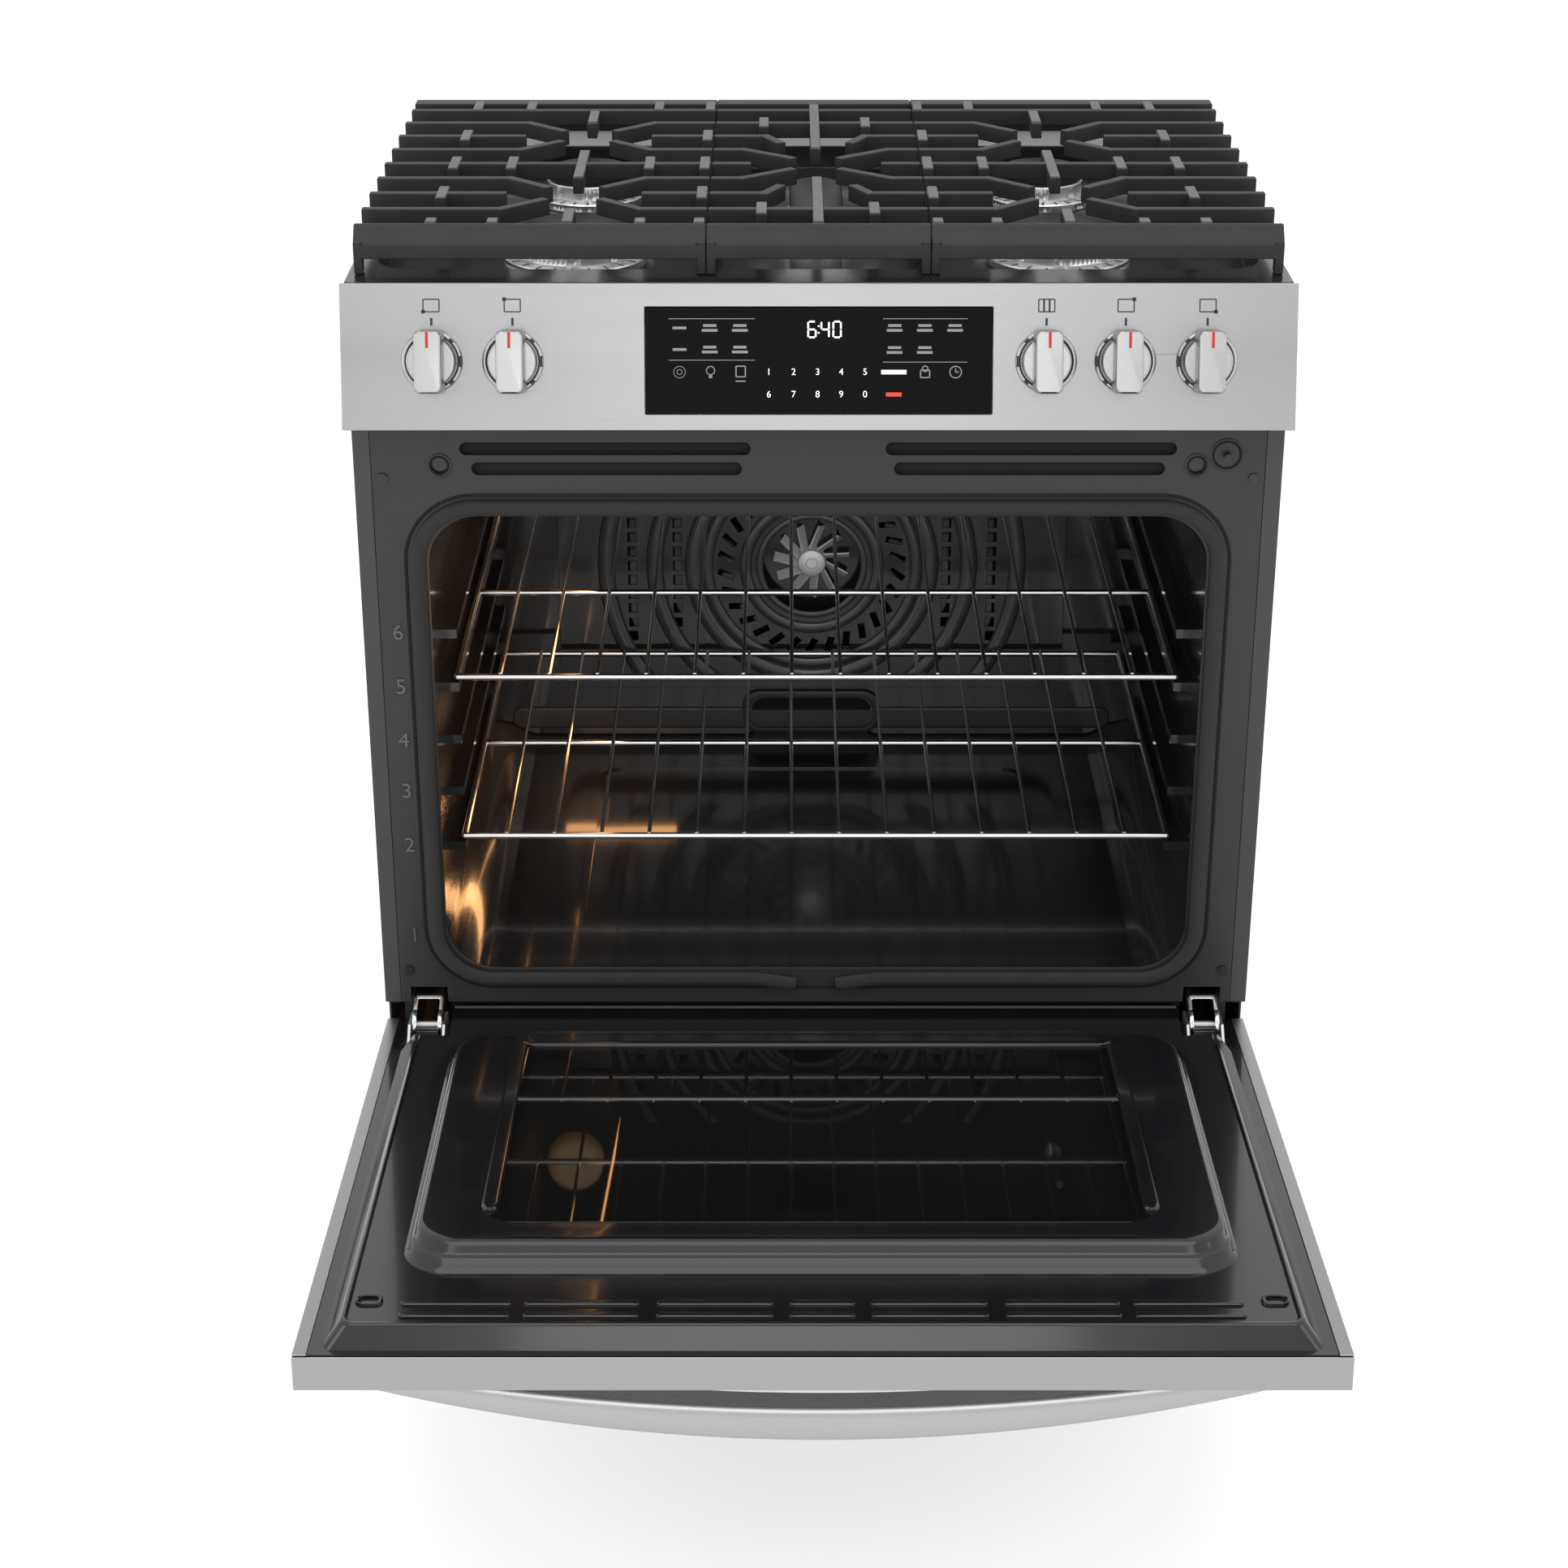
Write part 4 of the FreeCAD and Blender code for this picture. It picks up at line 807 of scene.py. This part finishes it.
DOT_AT = {"front_left": (-1, -1), "rear_left": (-1, 1), "rear_right": (1, 1),
          "front_right": (1, -1)}
marks = []
for name, x in knob_x.items():
    marks.append(ink(x, 0.0862, 0.0019, 0.0062))
    marks += outline_box(x, 0.0990, 0.0128, 0.0098, 0.0010)
    if name in DOT_AT:
        side, end = DOT_AT[name]
        marks.append(ink(x + side * 0.0064, 0.0990 + end * 0.0049, 0.0030, 0.0030))
    else:
        marks += [ink(x - 0.0022, 0.0990, 0.0016, 0.0098), ink(x + 0.0022, 0.0990, 0.0016, 0.0098)]
    side = 1 if "left" in name else -1
    for turn, length in ((46, 0.0042), (0, 0.0088), (-46, 0.0042)):
        angle = math.radians(turn)
        mark = ink(side * 0.0228, 0, 0.0019, length, 0.0031)
        moved(mark, Matrix.Rotation(side * angle, 4, "Z"))
        marks.append(moved(mark, Matrix.Translation((x, KNOB_RISE, 0))))
place(moved(joined(marks, "marks"), panel_board), "panel_marks", "range_body", print_black)
print(len(marks), "marks")

# %% [markdown]
# ## Display
# The display is one slab of black glass with lit signs behind it: a clock in seven bars a digit,
# two rows of number keys, and rows of small keys whose words are left as plain bars. A picture
# would blur when seen close, so each sign is a thin solid that glows a little.

# %% Display glass and signs
GLASS_TOP = 0.0006
SIGN_TOP = 0.0008


def glowing(name, colour, strength):
    paint = Paint(name, Roughness=0.5)
    haze = paint.noise(300, 2)
    dim = tuple(c * 0.8 for c in colour[:3]) + (1,)
    tone = paint.mix(haze, dim, colour)
    paint.shader.inputs["Emission Strength"].default_value = strength
    paint.feed(Base_Color=tone, Emission_Color=tone)
    return paint.material


sign_white = glowing("white sign", (0.80, 0.85, 0.86, 1), 0.55)
sign_grey = glowing("grey sign", (0.20, 0.21, 0.22, 1), 0.25)
sign_red = glowing("red sign", (0.55, 0.03, 0.03, 1), 0.5)

glass = bevelled(block((-0.138, 0.0135, -0.0020), (0.138, 0.0975, GLASS_TOP)), 0.0004)
place(moved(glass, panel_board), "display_slab", "range_body", display_black,
      ["display_glass"])

SEGMENTS = {"6": "acdefg", "4": "bcfg", "0": "abcdef"}
SEGMENT_AT = {"a": (0, 1, 1), "b": (1, 0.5, 0), "c": (1, -0.5, 0), "d": (0, -1, 1),
              "e": (-1, -0.5, 0), "f": (-1, 0.5, 0), "g": (0, 0, 1)}


def clock_digit(character, u, v, half_width, half_height, line):
    bars = []
    for segment in SEGMENTS[character]:
        across, up, level = SEGMENT_AT[segment]
        size = (half_width * 2 - line, line) if level else (line, half_height - line * 0.6)
        bars.append(ink(u + across * half_width, v + up * half_height, *size, SIGN_TOP))
    return bars


def sign_text(text, u, v, size):
    bpy.ops.object.select_all(action="DESELECT")
    bpy.ops.object.text_add()
    sign = bpy.context.object
    sign.data.body = text
    sign.data.size = size
    sign.data.extrude = SIGN_TOP / 2
    sign.data.align_x = "CENTER"
    sign.data.align_y = "CENTER"
    bpy.ops.object.convert(target="MESH")
    sign = fixed(bpy.context.object)
    bpy.ops.object.mode_set(mode="EDIT")
    bpy.ops.mesh.select_all(action="SELECT")
    bpy.ops.mesh.remove_doubles(threshold=0.000001)
    done()
    return moved(sign, Matrix.Translation((u, v, SIGN_TOP / 2)))


def hoop(u, v, radius, line):
    bpy.ops.object.select_all(action="DESELECT")
    bpy.ops.mesh.primitive_torus_add(major_radius=radius, minor_radius=line / 2,
                                     major_segments=32, minor_segments=8,
                                     location=(u, v, GLASS_TOP))
    return fixed(bpy.context.object)


CLOCK_V = 0.0802
white = []
for character, u in (("6", -0.0055), ("4", 0.0050), ("0", 0.0145)):
    white += clock_digit(character, u, CLOCK_V, 0.0030, 0.0062, 0.0014)
white += [ink(-0.0002, CLOCK_V + 0.0026, 0.0013, 0.0013, SIGN_TOP),
          ink(-0.0002, CLOCK_V - 0.0026, 0.0013, 0.0013, SIGN_TOP)]
KEYS_U = (-0.0398, -0.0201, -0.0009, 0.0179, 0.0369)
for row, v in (("12345", 0.0466), ("67890", 0.0289)):
    for character, u in zip(row, KEYS_U):
        white.append(sign_text(character, u, v, 0.0074))
white.append(ink(0.0598, 0.0466, 0.0200, 0.0034, SIGN_TOP))

grey_signs = []
for left, right, rows_v, lines_v in ((-0.1193, -0.0510, (0.0814, 0.0644), (0.0886, 0.0560)),
                                     (0.0510, 0.1183, (0.0814, 0.0640), (0.0886, 0.0545))):
    for v in lines_v:
        grey_signs.append(ink((left + right) / 2, v, right - left, 0.0005, SIGN_TOP))
    for v in rows_v:
        for k in range(3):
            u = left + (0.0085 if left < 0 else 0.0093) + 0.0240 * k
            if left > 0 and k == 2 and v == rows_v[1]:
                continue
            single = left < 0 and k == 0
            for rise, width in ((0, 0.0110),) if single else ((0.0019, 0.0105), (-0.0019, 0.0125)):
                grey_signs.append(ink(u, v + rise, width, 0.0021, SIGN_TOP))
ICON_V = 0.0466
grey_signs += [hoop(-0.1109, ICON_V, radius, 0.0005) for radius in (0.0046, 0.0020)]
grey_signs += [hoop(-0.0862, ICON_V + 0.0012, 0.0033, 0.0008),
               ink(-0.0862, ICON_V - 0.0036, 0.0026, 0.0022, SIGN_TOP)]
grey_signs += outline_box(-0.0622, ICON_V + 0.0005, 0.0074, 0.0084, 0.0009)
grey_signs.append(ink(-0.0622, ICON_V - 0.0072, 0.0080, 0.0010, SIGN_TOP))
grey_signs += outline_box(0.0847, ICON_V - 0.0014, 0.0072, 0.0058, 0.0009)
grey_signs.append(hoop(0.0847, ICON_V + 0.0026, 0.0022, 0.0009))
grey_signs += [hoop(0.1090, ICON_V, 0.0046, 0.0009),
               ink(0.1090, ICON_V + 0.0014, 0.0008, 0.0030, SIGN_TOP),
               ink(0.1102, ICON_V, 0.0028, 0.0008, SIGN_TOP)]
for sign in grey_signs:
    if max(v.co.z for v in sign.data.vertices) < GLASS_TOP + 0.0001:
        moved(sign, Matrix.Translation((0, 0, SIGN_TOP - INK)))
red = [ink(0.0598, 0.0289, 0.0125, 0.0032, SIGN_TOP)]
place(moved(joined(white, "white"), panel_board), "display_white_signs", "range_body",
      sign_white)
place(moved(joined(grey_signs, "grey"), panel_board), "display_grey_signs", "range_body",
      sign_grey)
place(moved(joined(red, "red"), panel_board), "display_red_sign", "range_body", sign_red)
soft_node("control_panel", 0.0009, 3)
print("display done")

# %% [markdown]
# ## Grates
# The grates are cast iron with a coarse coat. Their bars have soft edges and spear ends, and the
# short cross stubs are ground flat. Their paler iron is partly the ground metal and partly a
# painted highlight on the raised tops. The stubs are thin caps that stand a little above the
# bars, which are lowered by the same small amount.

# %% Grates
grate_drop = 0.0008
# The caps' paler iron is partly the ground metal and partly a painted highlight on the raised tops.
stub_iron_with_highlight = cast_iron_coat("ground grate stubs with painted highlight", 0.075)
GRATE_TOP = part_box("grate_left")[1].z
for name in ("grate_left", "grate_center", "grate_right"):
    piece = softened(name, 0.0010, 2)
    low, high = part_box(name)
    squeeze = Matrix.Translation((0, 0, low.z)) @ Matrix.Diagonal(
        (1, 1, 1 - grate_drop / (high.z - low.z), 1)) @ Matrix.Translation((0, 0, -low.z))
    place(moved(piece, squeeze), name + "_iron", name, iron, [name])
ROW_START, ROW_PITCH, GRATE_BACK = 0.039 + FACE_Y, 0.0534, 0.511 + FACE_Y
BURNER_X, SEAM = 0.202, 0.0904


def row(k):
    return ROW_START + ROW_PITCH * k


def stub(x, low, high):
    """A ground cap on a cross stub, with soft edges."""
    cap = block((x - 0.0041, low, GRATE_TOP - 0.0016), (x + 0.0041, high, GRATE_TOP))
    return bevelled(cap, 0.0006)


side_stubs = []
stub_x = (SEAM + 0.0055, BURNER_X - 0.0585, BURNER_X + 0.0600, BURNER_X + 0.1095)
for x in stub_x:
    side_stubs.append(stub(x, GRATE_BACK - 0.046, GRATE_BACK - 0.012))
    side_stubs.append(stub(x, row(4) - 0.021, row(4) + 0.021))
for x in (stub_x[0], stub_x[3]):
    side_stubs += [stub(x, row(k) - 0.019, row(k) + 0.019) for k in (2, 6)]
side_stubs += [stub(x, ROW_START + 0.006, ROW_START + 0.019) for x in stub_x]
side_stubs += [stub(BURNER_X, ROW_START + 0.008, row(1) - 0.004),
               stub(BURNER_X, row(3), row(5) - 0.008), stub(BURNER_X, row(7), row(8) - 0.008)]
right_stubs = joined(side_stubs, "right_stubs")
left_stubs = copied(right_stubs, Matrix.Diagonal((-1, 1, 1, 1)))
only(left_stubs)
bpy.ops.object.mode_set(mode="EDIT")
bpy.ops.mesh.select_all(action="SELECT")
bpy.ops.mesh.flip_normals()
done()
middle_stubs = [stub(side * 0.046, row(k) - 0.018, row(k) + 0.018)
                for side in (1, -1) for k in (1, 7)]
middle_stubs += [stub(0, ROW_START + 0.008, row(3)), stub(0, row(5) + 0.003, row(8) + 0.020)]
for stubs, name in ((right_stubs, "grate_right"), (left_stubs, "grate_left"),
                    (joined(middle_stubs, "middle_stubs"), "grate_center")):
    place(stubs, name + "_stubs", name, stub_iron_with_highlight)
print("grates with", len(side_stubs), "stubs a side")

# %% [markdown]
# ## Burners
# A burner is a cast bowl with a ring of flame ports and a flat enamelled cap. The ports are every
# second face of the bowl's side, inset one by one and pushed in, which keeps them even.

# %% Burner bowls, heads and caps
WELL, STEP, CAP_FOOT, CAP_TOP = 0.893, 0.901, 0.914, 0.925
ROUND_BURNERS = [(side * BURNER_X, y + FACE_Y, radius) for side in (1, -1)
                 for y, radius in ((0.146, 0.060), (0.359, 0.049))]


def ported(piece, low, high, every=2):
    """Pushes ports into the side faces of a turned piece between two heights."""
    number = {"n": 0}

    def chosen(centre, normal):
        if abs(normal.z) > 0.5 or not low < centre.z < high:
            return False
        number["n"] += 1
        return number["n"] % every == 0

    edit(piece, chosen)
    bpy.ops.mesh.inset(thickness=0.0007, depth=-0.0022, use_individual=True)
    done()
    return piece


def flat_shaded(piece):
    only(piece)
    bpy.ops.object.shade_flat()
    return piece


heads, caps, gap_shades = [], [], []
for x, y, radius in ROUND_BURNERS:
    bowl = loft([(radius - 0.001, WELL), (radius, WELL + 0.0015), (radius, STEP - 0.0012),
                 (radius - 0.0012, STEP), (radius - 0.0085, STEP), (radius - 0.0100, STEP + 0.0012)],
                sides=72)
    ported(bowl, WELL + 0.002, STEP - 0.0015)
    head = loft([(radius - 0.0105, STEP), (radius - 0.0115, STEP + 0.0015),
                 (radius - 0.0115, CAP_FOOT - 0.002), (radius - 0.0105, CAP_FOOT - 0.0008),
                 (radius - 0.0110, CAP_FOOT)], sides=72)
    ported(head, STEP + 0.002, CAP_FOOT - 0.0025)
    cap_radius = radius - 0.0125
    cap = loft([(cap_radius - 0.001, CAP_FOOT), (cap_radius, CAP_FOOT + 0.001),
                (cap_radius, CAP_FOOT + 0.006), (cap_radius - 0.0012, CAP_FOOT + 0.0088),
                (cap_radius - 0.0040, CAP_TOP - 0.0004), (cap_radius - 0.0070, CAP_TOP),
                (cap_radius - 0.0160, CAP_TOP - 0.0006)], sides=96)
    spot = Matrix.Translation((x, y, 0))
    heads += [moved(bowl, spot), moved(head, spot)]
    caps.append(moved(cap, spot))
    # Short dark blocks across the bowl's top ring are painted shade in its radial notches.
    for k in range(24):
        gap = block((radius - 0.0085, -0.0008, STEP - 0.0004), (radius - 0.0010, 0.0008, STEP + 0.0002))
        gap_shades.append(moved(gap, spot @ Matrix.Rotation(math.radians(15 * k), 4, "Z")))
OVAL_Y = row(4)
oval_bowl = loft([(0.0265, -0.0715, 0.0715, WELL), (0.0270, -0.0720, 0.0720, STEP - 0.001),
                  (0.0260, -0.0710, 0.0710, STEP), (0.0215, -0.0665, 0.0665, STEP + 0.0005)],
                 corner=0.0264, steps=16)
oval_head = loft([(0.0215, -0.0665, 0.0665, STEP), (0.0210, -0.0660, 0.0660, CAP_FOOT - 0.0005),
                  (0.0205, -0.0655, 0.0655, CAP_FOOT)], corner=0.0213, steps=16)
ported(oval_bowl, WELL + 0.002, STEP - 0.0015)
ported(oval_head, STEP + 0.002, CAP_FOOT - 0.0025)
oval_cap = loft([(0.0225, -0.0675, 0.0675, CAP_FOOT), (0.0230, -0.0680, 0.0680, CAP_FOOT + 0.006),
                 (0.0218, -0.0668, 0.0668, CAP_FOOT + 0.0095),
                 (0.0180, -0.0630, 0.0630, CAP_TOP)], corner=0.0224, steps=12)
spot = Matrix.Translation((0, OVAL_Y, 0))
heads += [moved(oval_bowl, spot), moved(oval_head, spot)]
caps.append(moved(oval_cap, spot))
place(joined(heads, "heads"), "burner_bowls_and_heads", "range_body", aluminium,
      ["burner_heads"])
place(joined(gap_shades, "gap_shades"), "burner_port_gap_shades", "range_body", painted_shade)
place(joined(caps, "caps"), "burner_cap_set", "range_body", cap_iron,
      ["burner_caps"])
soft_node("cooktop_pan", 0.0012, 3)
soft_node("rear_vent_trim", 0.0008)
print(len(caps), "burners")

# %% [markdown]
# ## Front frame and gasket
# The frame round the oven is a stamped and enamelled sheet. It carries small raised numbers for
# the rack positions. The gasket is a braided tube that starts and ends at the middle of the foot.
# A plane with rounded corners loses its face and becomes a path, which is then thickened.

# %% Gasket, groove shade and numbers
soft_node("front_frame", 0.0008)
# Dark sheets behind the frame's vent slots are painted shade in the openings.
painted_shade_sheets = [block((side * 0.172 - 0.125, FACE_Y + 0.0045, 0.750),
                 (side * 0.172 + 0.125, FACE_Y + 0.0055, 0.795)) for side in (1, -1)]
place(joined(painted_shade_sheets, "painted_shade_sheets"), "vent_slot_painted_shade_sheets", "range_body", painted_shade)


def frame_loop(half, low, high, corner, radius, flat, gap=None):
    """A tube that follows a rounded rectangle on the wall. A gap opens it at the foot."""
    bpy.ops.object.select_all(action="DESELECT")
    bpy.ops.mesh.primitive_plane_add(size=2, location=(0, (low + high) / 2, 0))
    loop = bpy.context.object
    loop.scale = (half, (high - low) / 2, 1)
    fixed(loop)
    bpy.ops.object.mode_set(mode="EDIT")
    bpy.ops.mesh.select_all(action="SELECT")
    bpy.ops.mesh.bevel(offset=corner, segments=12, affect="VERTICES")
    bpy.ops.mesh.select_all(action="SELECT")
    bpy.ops.mesh.delete(type="ONLY_FACE")
    done()
    if gap:
        edit_edges(loop, lambda a, b: max(a.y, b.y) < low + 0.0001 and abs(a.x - b.x) > half)
        bpy.ops.mesh.subdivide(number_cuts=63)
        bpy.ops.mesh.select_all(action="DESELECT")
        done()
        droop_from, droop = gap
        for vertex in loop.data.vertices:
            near = 1 - abs(vertex.co.x) / droop_from
            if near > 0 and vertex.co.y < low + 0.0001:
                vertex.co.y -= droop * near * near * (3 - 2 * near)
            vertex.select = vertex.co.y < low + 0.0001 and abs(vertex.co.x) < 0.0135
        bpy.context.tool_settings.mesh_select_mode = (True, False, False)
        bpy.ops.object.mode_set(mode="EDIT")
        bpy.ops.mesh.delete(type="VERT")
        done()
    bpy.ops.object.convert(target="CURVE")
    loop = bpy.context.object
    loop.data.bevel_depth = radius
    loop.data.bevel_resolution = 3
    loop.data.use_fill_caps = True
    bpy.ops.object.convert(target="MESH")
    loop = fixed(bpy.context.object)
    loop.data.transform(Matrix.Diagonal((1, 1, flat, 1)))
    return smooth(loop, 60)


gasket = frame_loop(0.3295, 0.2935, 0.7275, 0.0485, 0.0064, 0.66, gap=(0.062, 0.0065))
moved(gasket, Matrix.Translation((0, 0, 0.0042)))
place(moved(gasket, wall_board(FACE_Y)), "gasket_braid", "range_body", gasket_cloth,
      ["door_gasket"])
# A thin dark tube round the gasket is painted shade in the groove that the gasket sits in.
groove_shade = frame_loop(0.3395, 0.2835, 0.7375, 0.0580, 0.0016, 0.35)
place(moved(groove_shade, wall_board(FACE_Y)), "gasket_groove_shade", "range_body", painted_shade)

NUMBER_HEIGHTS = {"6": 0.617, "5": 0.568, "4": 0.519, "3": 0.472, "2": 0.421, "1": 0.334}
numbers = []
for text, height in NUMBER_HEIGHTS.items():
    digit = sign_text(text, -0.3490, height, 0.019)
    digit.data.transform(Matrix.Diagonal((1, 1, 1.6, 1)))
    numbers.append(digit)
# The raised numbers get a paler copy of the frame enamel, a painted highlight on their faces.
number_enamel_with_highlight = enamel("number enamel with painted highlight", (0.060, 0.062, 0.064, 1), 0.2, 0.1)
place(moved(joined(numbers, "numbers"), wall_board(FACE_Y)), "rack_numbers", "range_body",
      number_enamel_with_highlight)
print(len(numbers), "numbers")

# %% [markdown]
# Each screw sinks into a pressed pocket with a soft rim, and the light switch stands in a wider
# ring. A rim is drawn as a bead with a dark line inside it.


# %% Rims of the pockets
def rim(x, z, radius, thick):
    bpy.ops.object.select_all(action="DESELECT")
    bpy.ops.mesh.primitive_torus_add(major_radius=radius, minor_radius=thick, major_segments=64,
                                     minor_segments=12, location=(x, z, 0))
    return smooth(fixed(bpy.context.object), 60)


POCKETS = ((-0.308, 0.763, 0.0092), (0.308, 0.763, 0.0092), (0.332, 0.772, 0.0130))
beads = [rim(x, z, radius, 0.0012) for x, z, radius in POCKETS]
lines = [rim(x, z, radius - 0.0019, 0.0009) for x, z, radius in POCKETS]
place(moved(joined(beads, "beads"), wall_board(FACE_Y)), "pocket_rims", "range_body",
      frame_enamel)
place(moved(joined(lines, "lines"), wall_board(FACE_Y)), "pocket_shadow_lines", "range_body",
      painted_shade)
print(len(POCKETS), "pockets")

# %% [markdown]
# ## Back wall of the oven
# The fan cover is stamped with rings round the fan's mouth and with arcs outside them. They are
# tori, flattened and cut to the cover by two bisecting planes, because arcs alone would need a
# new primitive for each. A shallow band and an arched vent run along the foot of the wall.

# %% Fan cover, rings, vent
COVER_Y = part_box("fan_cover")[0].y
FAN_Z = joints["fan_spin"]["pos_m"][2]
soft_node("fan_cover", 0.0007)


def ring_bead(radius, thick, half_height=0.2, gap=0.0):
    """A flattened torus round the fan, trimmed above and below."""
    bpy.ops.object.select_all(action="DESELECT")
    bpy.ops.mesh.primitive_torus_add(major_radius=radius, minor_radius=thick,
                                     major_segments=160, minor_segments=14)
    bead = fixed(bpy.context.object)
    if half_height < radius:
        for side in (1, -1):
            bpy.ops.object.mode_set(mode="EDIT")
            bpy.ops.mesh.select_all(action="SELECT")
            bpy.ops.mesh.bisect(plane_co=(0, side * half_height, 0), plane_no=(0, side, 0),
                                use_fill=True, clear_outer=True)
            done()
    bead.data.transform(Matrix.Diagonal((1, 1, 0.45, 1)))
    return smooth(bead, 60)


beads = [ring_bead(0.0520, 0.0035), ring_bead(0.0660, 0.0060), ring_bead(0.1040, 0.0060)]
beads += [ring_bead(radius, 0.0085, 0.116) for radius in (0.1180, 0.1565, 0.2050)]
moved_beads = joined(beads, "beads")
cover_board = wall_board(COVER_Y) @ Matrix.Translation((0, FAN_Z, 0))
# The stamped rings get a paler enamel of their own, a painted highlight on the raised rings.
bead_enamel_with_highlight = enamel("cover bead enamel with painted highlight", (0.030, 0.032, 0.035, 1), 0.22, 0.1)
place(moved(moved_beads, cover_board), "fan_cover_beads", "range_body", bead_enamel_with_highlight)
WALL_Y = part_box("fan_cover")[1].y
band = loft([(0.306, 0.3055, 0.3285, -0.0005), (0.3055, 0.3060, 0.3280, 0.0022),
             (0.3030, 0.3085, 0.3255, 0.0034)], corner=0.010)
arch = loft([(0.0700, 0.3010, 0.3480, 0.0), (0.0695, 0.3015, 0.3475, 0.0045),
             (0.0670, 0.3040, 0.3450, 0.0055), (0.0640, 0.3070, 0.3420, 0.0052),
             (0.0630, 0.3080, 0.3410, 0.0020)], corner=0.017)
place(moved(joined([band, arch], "band"), wall_board(WALL_Y)), "back_wall_band", "range_body",
      frame_enamel)
# The vent's opening is a dark slab of painted shade inside the arch.
vent_shade = loft([(0.0615, 0.3095, 0.3395, 0.0015), (0.0612, 0.3098, 0.3392, 0.0030)], corner=0.015)
place(moved(vent_shade, wall_board(WALL_Y)), "back_wall_vent_shade", "range_body", painted_shade)

# %% [markdown]
# ## Fan
# The fan has eleven slanted blades round a domed hub. One blade is a bevelled block, copied round
# the axle, and the hub is turned.

# %% Fan
FAN_CENTRE = Vector(joints["fan_spin"]["pos_m"])
fan_low, fan_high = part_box("convection_fan")
fan_depth = 0.498 - fan_low.y
BLADES = 11
fan_paint = Paint("satin fan aluminium", Metallic=0.55)
fan_grain = fan_paint.noise(700, 4)
fan_paint.feed(Base_Color=fan_paint.mix(fan_grain, grey(0.62), grey(0.85)),
               Roughness=0.35 + fan_grain * 0.2)
fan_paint.bump(fan_grain, 0.00005, 0.4)
fan_metal = fan_paint.material
fan_parts = [loft([(0.0145, -fan_depth), (0.0145, -0.004), (0.0130, -0.0014), (0.0085, 0.0),
                   (0.0060, 0.0), (0.0050, -0.0016)], sides=48),
             loft([(0.0340, -fan_depth), (0.0340, -fan_depth + 0.0018),
                   (0.0335, -fan_depth + 0.0020)], sides=64)]
for k in range(BLADES):
    blade = bevelled(block((-0.0055, 0.0, -0.0008), (0.0055, 0.0265, 0.0008)), 0.0004)
    tilt = (Matrix.Rotation(2 * math.pi * k / BLADES, 4, "Z") @ Matrix.Translation((0, 0.012, -0.010))
            @ Matrix.Rotation(math.radians(-22), 4, "Z") @ Matrix.Rotation(math.radians(52), 4, "Y"))
    fan_parts.append(moved(blade, tilt))
fan_board = wall_board(fan_low.y) @ Matrix.Translation((0, FAN_Z, 0))
place(moved(joined(fan_parts, "fan_parts"), fan_board), "fan_wheel", "fan", fan_metal,
      ["convection_fan"])

# %% [markdown]
# ## Body panels, racks and drawer
# These keep the shapes of their nodes and only need rounded edges and their own finish.

# %% Softened nodes
for name in ("side_panel_left", "side_panel_right", "drawer_front", "base_frame", "back_panel",
             "drawer_tray", "oven_floor_panel", "leveling_legs"):
    soft_node(name, 0.0006)
print("softened", len(pieces_made), "pieces so far")

# %% [markdown]
# ## Floor and light
# The range stands on a plain pale floor in a soft white studio. One broad light from above and in
# front gives the steel its even sheen, and two side lights draw the edges of the dark parts.

# %% Floor and lights
FLOOR_SIDE = 40


def pale_floor():
    paint = Paint("pale floor")
    soft = paint.noise(0.8, 2)
    tone = paint.mix(soft, grey(0.50), grey(0.53))
    paint.shader.inputs["Emission Strength"].default_value = 1.15
    paint.feed(Base_Color=tone, Emission_Color=tone, Roughness=0.7 + soft * 0.05)
    return paint.material


bpy.ops.object.select_all(action="DESELECT")
bpy.ops.mesh.primitive_plane_add(size=FLOOR_SIDE)
floor = bpy.context.object
floor.name = "floor"
floor.data.materials.append(pale_floor())


def softbox(name, place_at, look_at, size, power, colour=(1, 1, 1)):
    data = bpy.data.lights.new(name, "AREA")
    data.shape = "RECTANGLE"
    data.size, data.size_y = size
    data.energy = power
    data.color = colour
    light = bpy.data.objects.new(name, data)
    light.location = place_at
    light.rotation_euler = (Vector(look_at) - Vector(place_at)).to_track_quat("-Z", "Y").to_euler()
    bpy.context.scene.collection.objects.link(light)


softbox("above", (0, -0.6, 3.6), (0, 0, 0.7), (3.2, 2.4), 34)
softbox("left", (-3.2, -1.6, 1.8), (0, 0, 0.6), (1.6, 2.4), 22)
softbox("right", (3.2, -1.4, 1.8), (0, 0, 0.6), (1.6, 2.4), 16)
softbox("front", (0, -4.6, 2.2), (0, 0, 0.6), (1.2, 1.7), 15)

# The oven's own lamp glows warm behind the left wall, and a little light reaches the fan.
WARM = (1.0, 0.48, 0.18)
softbox("oven lamp high", (-0.215, 0.16, 0.640), (-0.320, 0.16, 0.620), (0.10, 0.30), 0.60, WARM)
softbox("oven lamp low", (-0.200, 0.30, 0.350), (-0.320, 0.30, 0.345), (0.05, 0.20), 0.30, WARM)
softbox("oven lamp floor", (-0.190, 0.36, 0.352), (-0.191, 0.36, 0.300), (0.020, 0.11), 0.04, WARM)
softbox("oven fill", (0.0, 0.10, 0.690), (0.0, 0.46, 0.500), (0.40, 0.05), 0.55, (1, 0.97, 0.93))
bpy.data.objects["oven fill"].visible_glossy = False

world = bpy.data.worlds.new("studio")
world.use_nodes = True
world.node_tree.nodes["Background"].inputs["Color"].default_value = (1, 1, 1, 1)
world.node_tree.nodes["Background"].inputs["Strength"].default_value = 1.05
bpy.context.scene.world = world
bpy.context.scene.view_settings.view_transform = "Standard"
print("stage ready")
